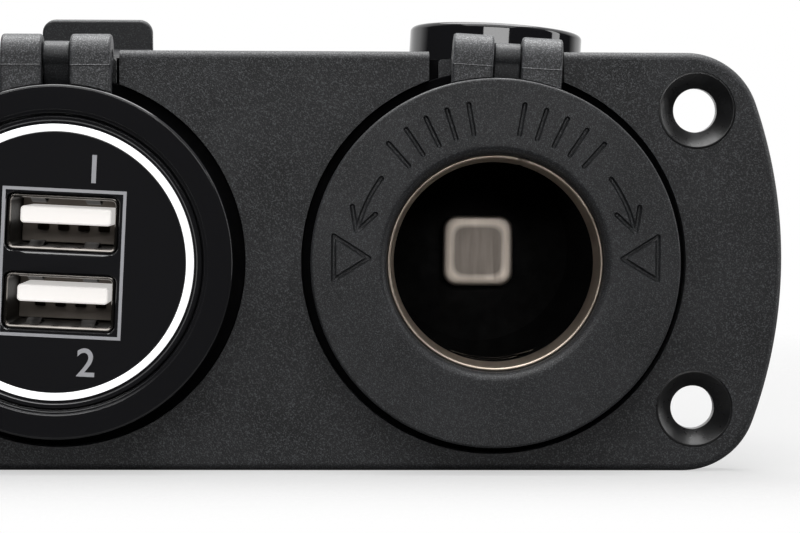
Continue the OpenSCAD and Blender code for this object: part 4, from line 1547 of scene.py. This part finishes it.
@dataclass
class Lid:
    """A flip lid, drawn shut: a round plate with a hinge flat, a thumb tab and a hinge finger."""

    side: Side
    radius: float = 18.6
    front_y: float = -8.65
    back_y: float = -6.85
    flat_h: float = 16.7
    tab_half: float = 6.75
    tab_end: float = 21.25
    tab_in: float = 19.85
    tab_back: float = -3.35
    tab_power: int = 14
    finger_w: float = 2.86
    finger_t: float = 1.75
    finger_y: float = -7.75
    finger_root: float = 15.6
    finger_end: tuple[float, float] = (-4.0, 22.25)
    plug_r: float = 9.88
    plug_in: float = 8.5
    eye_r: float = 1.45
    pin_r: float = 0.65
    dish_r: float = 14.2

    def plate_outline(self, inset: float) -> np.ndarray:
        """The plate's outline by angle.

        The radius is the larger of the plate's circle and, over the lower half, a rounded
        rectangle of an even power for the thumb tab; it is cut off at the hinge flat. The inset
        comes off each size.

        Args:
            inset: How far inwards.

        Returns:
            The closed outline, counter-clockwise.
        """
        a = np.linspace(0, FULL_TURN, 480, endpoint=False)
        x, z = np.cos(a), np.sin(a)
        half, end = self.tab_half - inset, self.tab_end - inset
        power = self.tab_power
        tab = (np.abs(x / half) ** power + np.abs(z / end) ** power) ** (-1 / power)
        reach = np.where(z < 0, np.maximum(self.radius - inset, tab), self.radius - inset)
        reach = np.minimum(reach, (self.flat_h - inset) / np.maximum(z, 1e-6))
        return np.stack([reach * x, reach * z], 1)

    def plate_mesh(self) -> Mesh:
        """The plate with round edges and a shallow dish in its outer face."""
        y, r = self.front_y, self.dish_r
        plate = prism("lid_plate", self.plate_outline, edge_section(y, self.back_y, 0.5, 0.15))
        dish = turned("dish", fillet([
            (0, y - 1), (r + 0.5, y - 1), (r, y, 0.1), (r - 0.3, y + 0.3, 0.25), (0, y + 0.3),
        ], 4), 160)
        return boolean(plate, [dish])

    def tab_mesh(self) -> Mesh:
        """The thumb tab's lip, which reaches back and ends in two round corners."""
        depth = self.tab_back - self.front_y - 0.5
        half = self.tab_half
        outline = fillet([(-half, 0), (half, 0), (half, depth, 1.6), (-half, depth, 1.6)], 8)
        lip = prism("lid_tab", outline, edge_section(self.tab_in, self.tab_end, 0.3, 0.3, 4))
        return moved(lip, shift(0, self.front_y + 0.5, 0) @ turn(-90, "X"))

    def finger_mesh(self) -> Mesh:
        """The hinge finger, bent from the plate up and over to an eye round the pin.

        Its middle line is a straight run and then the curve (1-t)^2 A + 2t(1-t) B + t^2 C.

        Returns:
            The finger with its pin hole.
        """
        t, y = np.linspace(0, 1, 18)[:, None], self.finger_y
        start, bend = self.side.pick((17.6, 21.6), (19.2, 22.0))
        a, b, c = np.array([y, start]), np.array([y, bend]), np.array(self.finger_end)
        curve = (1 - t) ** 2 * a + 2 * t * (1 - t) * b + t ** 2 * c
        path = np.concatenate([straight((y, self.finger_root), (y, start - 0.3)), curve])
        section = edge_section(-self.finger_w / 2, self.finger_w / 2, 0.25, 0.25, 3)
        bar = prism("finger", stroke_outline(path, self.finger_t), section)
        ends, r, line = self.finger_w / 2, self.eye_r, shift(LAYOUT.hinge_y, 0, LAYOUT.hinge_h)
        eye = turned("eye", fillet([(0, -ends), (r, -ends, 0.2), (r, ends, 0.2), (0, ends)], 3), 72)
        drill = turned("drill", rod(self.pin_r, -5.0, 5.0), 40)
        finger = boolean(boolean(bar, [moved(eye, line)], "UNION"), [moved(drill, line)])
        return moved(finger, turn(90, "Z"))

    def plug_mesh(self) -> Mesh:
        """The socket lid's hollow plug, with a round rim and a shoulder at its foot."""
        r, hollow, foot = self.plug_r, self.plug_in, self.plug_r + 0.07
        return turned("lid_plug", fillet([
            (0, -6.8), (foot, -6.8), (foot, -6.1, 0.1), (r, -5.9, 0.1), (r, 1.55, 0.55),
            (hollow, 1.4, 0.35), (hollow, -5.6, 0.3), (0, -5.6),
        ], 7), 256)

    def build(self) -> None:
        """Makes and dresses the lid on its own body."""
        body, place = self.side.pick(Body.CHARGER_LID, Body.SOCKET_LID), LAYOUT.lid(self.side)
        name = body.value
        shell = joined(name, [self.plate_mesh(), self.tab_mesh(), self.finger_mesh()])
        make_piece(f"{name}_moulding", shell, place, Finishes.LID, body, [name])
        if self.side is Side.SOCKET:
            cup, nodes = self.plug_mesh(), [f"{name}_plug"]
            make_piece(f"{name}_plug_cup", cup, place, Finishes.PLUG, body, nodes)


@dataclass
class RingNut:
    """The ribbed nut that clamps a barrel from behind."""

    side: Side
    radius: float = 16.0
    bore: float = 14.05
    front: float = 0.02
    depth: float = 6.0
    ribs: int = 24
    groove_d: float = 0.5

    def mesh(self) -> Mesh:
        """The nut as one grid of angle and section.

        Outside radius at an angle: the nut's radius less the groove's depth times a profile,
        which is the cosine of ribs times the angle, less 0.55, scaled by 3 and clipped to 0..1.
        The grooves stop 1.2 mm short of the seating face.

        Returns:
            The closed nut.
        """
        a = full_circle(12 * self.ribs)
        rim = edge_section(self.front, self.depth, 0.3, 0.35, 4)
        y = np.concatenate([rim[:5, 1], [0.9, 1.2], rim[5:, 1]])[None, :]
        inset = np.concatenate([rim[:5, 0], [0.0, 0.0], rim[5:, 0]])[None, :]
        groove = np.clip(3 * (np.cos(self.ribs * a) - 0.55), 0, 1) * (y > 1.0)
        outside = self.radius - inset - self.groove_d * groove
        radius = np.concatenate([outside, np.full((len(a), 2), self.bore)], 1)
        depth = np.concatenate([y, [[self.depth, self.front]]], 1)
        return grid_mesh("ring_nut", round_grid(a, radius, depth))

    def build(self) -> None:
        """Makes and dresses the nut."""
        name, place = self.side.name.lower(), LAYOUT.outlet(self.side)
        make_piece(
            f"{name}_ring_nut", self.mesh(), place, Finishes.NUT,
            stands_for=[f"{name}_nut"],
        )


class CarriedNodes:
    """The CAD nodes whose shape is right as it is: each only gets its material."""

    FINISHES = {
        "socket_insulator": Finishes.INSULATOR, "contact_rivet": Finishes.BRASS,
        "positive_terminal": Finishes.TERMINAL, "negative_terminal": Finishes.TERMINAL,
        "socket_gasket": Finishes.GASKET, "charger_gasket": Finishes.GASKET,
        "charger_lid_pad": Finishes.GASKET, "socket_hinge_pin": Finishes.PIN,
        "charger_hinge_pin": Finishes.PIN, "circuit_board": Finishes.BOARD,
        "board_coil": Finishes.FERRITE, "board_capacitors": Finishes.CAN,
        "board_chip": Finishes.CHIP, "ring_lamps": Finishes.LAMP,
        "charger_rear_cap": Finishes.CAP, "charger_positive_terminal": Finishes.TERMINAL,
        "charger_negative_terminal": Finishes.TERMINAL,
    }

    def dress(self) -> None:
        """Puts each node's finish into its material slots."""
        for name, finish in self.FINISHES.items():
            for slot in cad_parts[name].material_slots:
                slot.material = finish.make()
            LOG.info("node %s: %s", name, finish.name)


def aimed(name: str, data: bpy.types.Light, place: Triple, target: Triple = (0, 0, 0)) -> None:
    """Puts a lamp at a place and turns it to its target."""
    lamp = linked(name, data)
    lamp.location = place
    lamp.rotation_mode = "QUATERNION"
    lamp.rotation_quaternion = (Vector(target) - Vector(place)).to_track_quat("-Z", "Y")


@dataclass(frozen=True)
class Lamp:
    """A soft area lamp, in metres and watts."""

    name: str
    place: Triple
    size: tuple[float, float]
    watts: float

    def build(self) -> None:
        """Makes the lamp and points it at the object."""
        data = bpy.data.lights.new(self.name, "AREA")
        data.shape = "RECTANGLE"
        data.size, data.size_y = self.size
        data.energy = self.watts
        aimed(self.name, data, self.place)


@dataclass(frozen=True)
class Snoot:
    """A narrow spot that reaches the contact at the bottom of the bore, in metres and watts."""

    place: Triple = (0.075, -0.36, 0.03)
    target: Triple = (0.0232, 0.0273, -0.0003)
    cone: float = 1.9
    blend: float = 0.6
    radius: float = 0.002
    watts: float = 0.5

    def build(self) -> None:
        """Makes the spot and points it at the contact."""
        data = bpy.data.lights.new("snoot", "SPOT")
        data.energy = self.watts
        data.spot_size = math.radians(self.cone)
        data.spot_blend = self.blend
        data.shadow_soft_size = self.radius
        aimed("snoot", data, self.place, self.target)


@dataclass
class Studio:
    """White floor and surroundings, soft lamps, and the camera at the photograph's angle.

    Places and lengths are in metres, the lens in millimetres and the camera's turns in degrees.
    """

    floor_z: float = -0.02276
    floor_half: float = 0.6
    fade: tuple[float, float] = (0.10, 0.22)
    front_fade: tuple[float, float] = (-0.040, -0.012)
    floor_white: float = 0.21
    floor_lift: float = 0.55
    backdrop_way: Triple = (0, 0.707, 0.707)
    gloss_white: tuple[float, float] = (0.012, 1.1)
    ambient: float = 0.15
    lens: float = 108.0
    eye: Triple = (0.00709, -0.25903, 0.01107)
    yaw: float = -1.36
    pitch: float = -2.65
    roll: float = -0.21

    # Name, place, size and watts of each soft lamp.
    LAMPS = (
        Lamp("key", (-0.05, -0.27, 0.33), (0.5, 0.3), 1.1),
        Lamp("front", (0.0, -0.48, 0.105), (0.30, 0.05), 0.4),
        Lamp("right", (0.44, -0.03, 0.10), (0.10, 0.36), 0.6),
        Lamp("top", (0.0, 0.05, 0.34), (0.34, 0.30), 2.2),
    )

    def floor(self) -> None:
        """A white floor that keeps the shadow and fades into the white surroundings."""
        h, z = self.floor_half, self.floor_z
        mesh = bpy.data.meshes.new("floor")
        mesh.from_pydata([(-h, -h, z), (h, -h, z), (h, h, z), (-h, h, z)], [], [(0, 1, 2, 3)])
        material = bpy.data.materials.new("matt_white_floor")
        tree = empty_tree(material)
        place = {0: add_node(tree, "ShaderNodeTexCoord").outputs["Object"]}
        distance = add_node(tree, "ShaderNodeVectorMath", place, operation="LENGTH")
        away = remap(tree, distance.outputs["Value"], *self.fade, (0.0, 1.0))
        depth = add_node(tree, "ShaderNodeSeparateXYZ", place).outputs[1]
        before = remap(tree, depth, *self.front_fade, (1.0, 0.0))
        share = computed(tree, "MAXIMUM", away, before)
        matt = add_node(tree, "ShaderNodeBsdfDiffuse", {"Color": (self.floor_white,) * 3 + (1,)})
        camera = add_node(tree, "ShaderNodeLightPath").outputs["Is Camera Ray"]
        strength = remap(tree, camera, 0, 1, (0.0, self.floor_lift))
        lift = add_node(tree, "ShaderNodeEmission", {"Color": WHITE, "Strength": strength})
        near = add_node(tree, "ShaderNodeAddShader", {0: matt.outputs[0], 1: lift.outputs[0]})
        far = add_node(tree, "ShaderNodeBsdfTransparent")
        inputs = {0: share, 1: near.outputs[0], 2: far.outputs[0]}
        mixed = add_node(tree, "ShaderNodeMixShader", inputs)
        add_node(tree, "ShaderNodeOutputMaterial", {"Surface": mixed.outputs[0]})
        mesh.materials.append(material)
        plane = linked("floor", mesh)

    def surroundings(self) -> None:
        """White for the camera, and for gloss above and behind the object.

        A studio is dark behind its camera, so polished faces that look at it stay black.
        """
        world = bpy.data.worlds.new("studio")
        bpy.context.scene.world = world
        tree = empty_tree(world)
        rays = add_node(tree, "ShaderNodeLightPath").outputs
        way = add_node(tree, "ShaderNodeTexCoord").outputs["Generated"]
        inputs = {0: way, 1: self.backdrop_way}
        behind = add_node(tree, "ShaderNodeVectorMath", inputs, operation="DOT_PRODUCT")
        mirror = remap(tree, behind.outputs["Value"], 0.3, 0.5, self.gloss_white)
        sees = computed(tree, "MAXIMUM", rays["Is Glossy Ray"], rays["Is Transmission Ray"])
        inputs = {0: sees, 2: self.ambient, 3: mirror}
        soft = add_node(tree, "ShaderNodeMix", inputs, data_type="FLOAT")
        inputs = {0: rays["Is Camera Ray"], 2: soft.outputs[0], 3: 1.0}
        strength = add_node(tree, "ShaderNodeMix", inputs, data_type="FLOAT").outputs[0]
        back = add_node(tree, "ShaderNodeBackground", {"Color": WHITE, "Strength": strength})
        add_node(tree, "ShaderNodeOutputWorld", {"Surface": back.outputs[0]})

    def camera(self) -> None:
        """The camera: turned by yaw, then pitch, then roll, in its own frame of right and up."""
        data = bpy.data.cameras.new("camera")
        data.lens = self.lens
        data.sensor_width = 36.0
        data.sensor_fit = "HORIZONTAL"
        data.clip_start, data.clip_end = 0.01, 20.0
        camera = linked("camera", data)
        look = turn(self.yaw, "Z") @ turn(self.pitch, "X") @ turn(self.roll, "Y") @ turn(90, "X")
        camera.matrix_world = shift(*self.eye) @ look
        bpy.context.scene.camera = camera

    def build(self) -> None:
        """Sets the stage and the picture's plain colour transform."""
        bpy.context.scene.view_settings.view_transform = "Standard"
        self.camera()
        self.floor()
        self.surroundings()
        for lamp in (*self.LAMPS, Snoot()):
            lamp.build()


def corners(box: tuple[Vector, Vector]) -> list[list[float]]:
    """A box's two corners as plain lists."""
    return [list(corner) for corner in box]


def main() -> None:
    """Builds the stage and every sub-assembly in order."""
    logging.basicConfig(level=logging.INFO, format="%(name)s: %(message)s")
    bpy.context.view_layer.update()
    Studio().build()
    Panel().build()
    Socket().build()
    Charger().build()
    for side in Side:
        HingeCollar(side).build()
        Lid(side).build()
        RingNut(side).build()
    CarriedNodes().dress()
    LOG.info("boxes written")


if __name__ == "__main__":
    main()
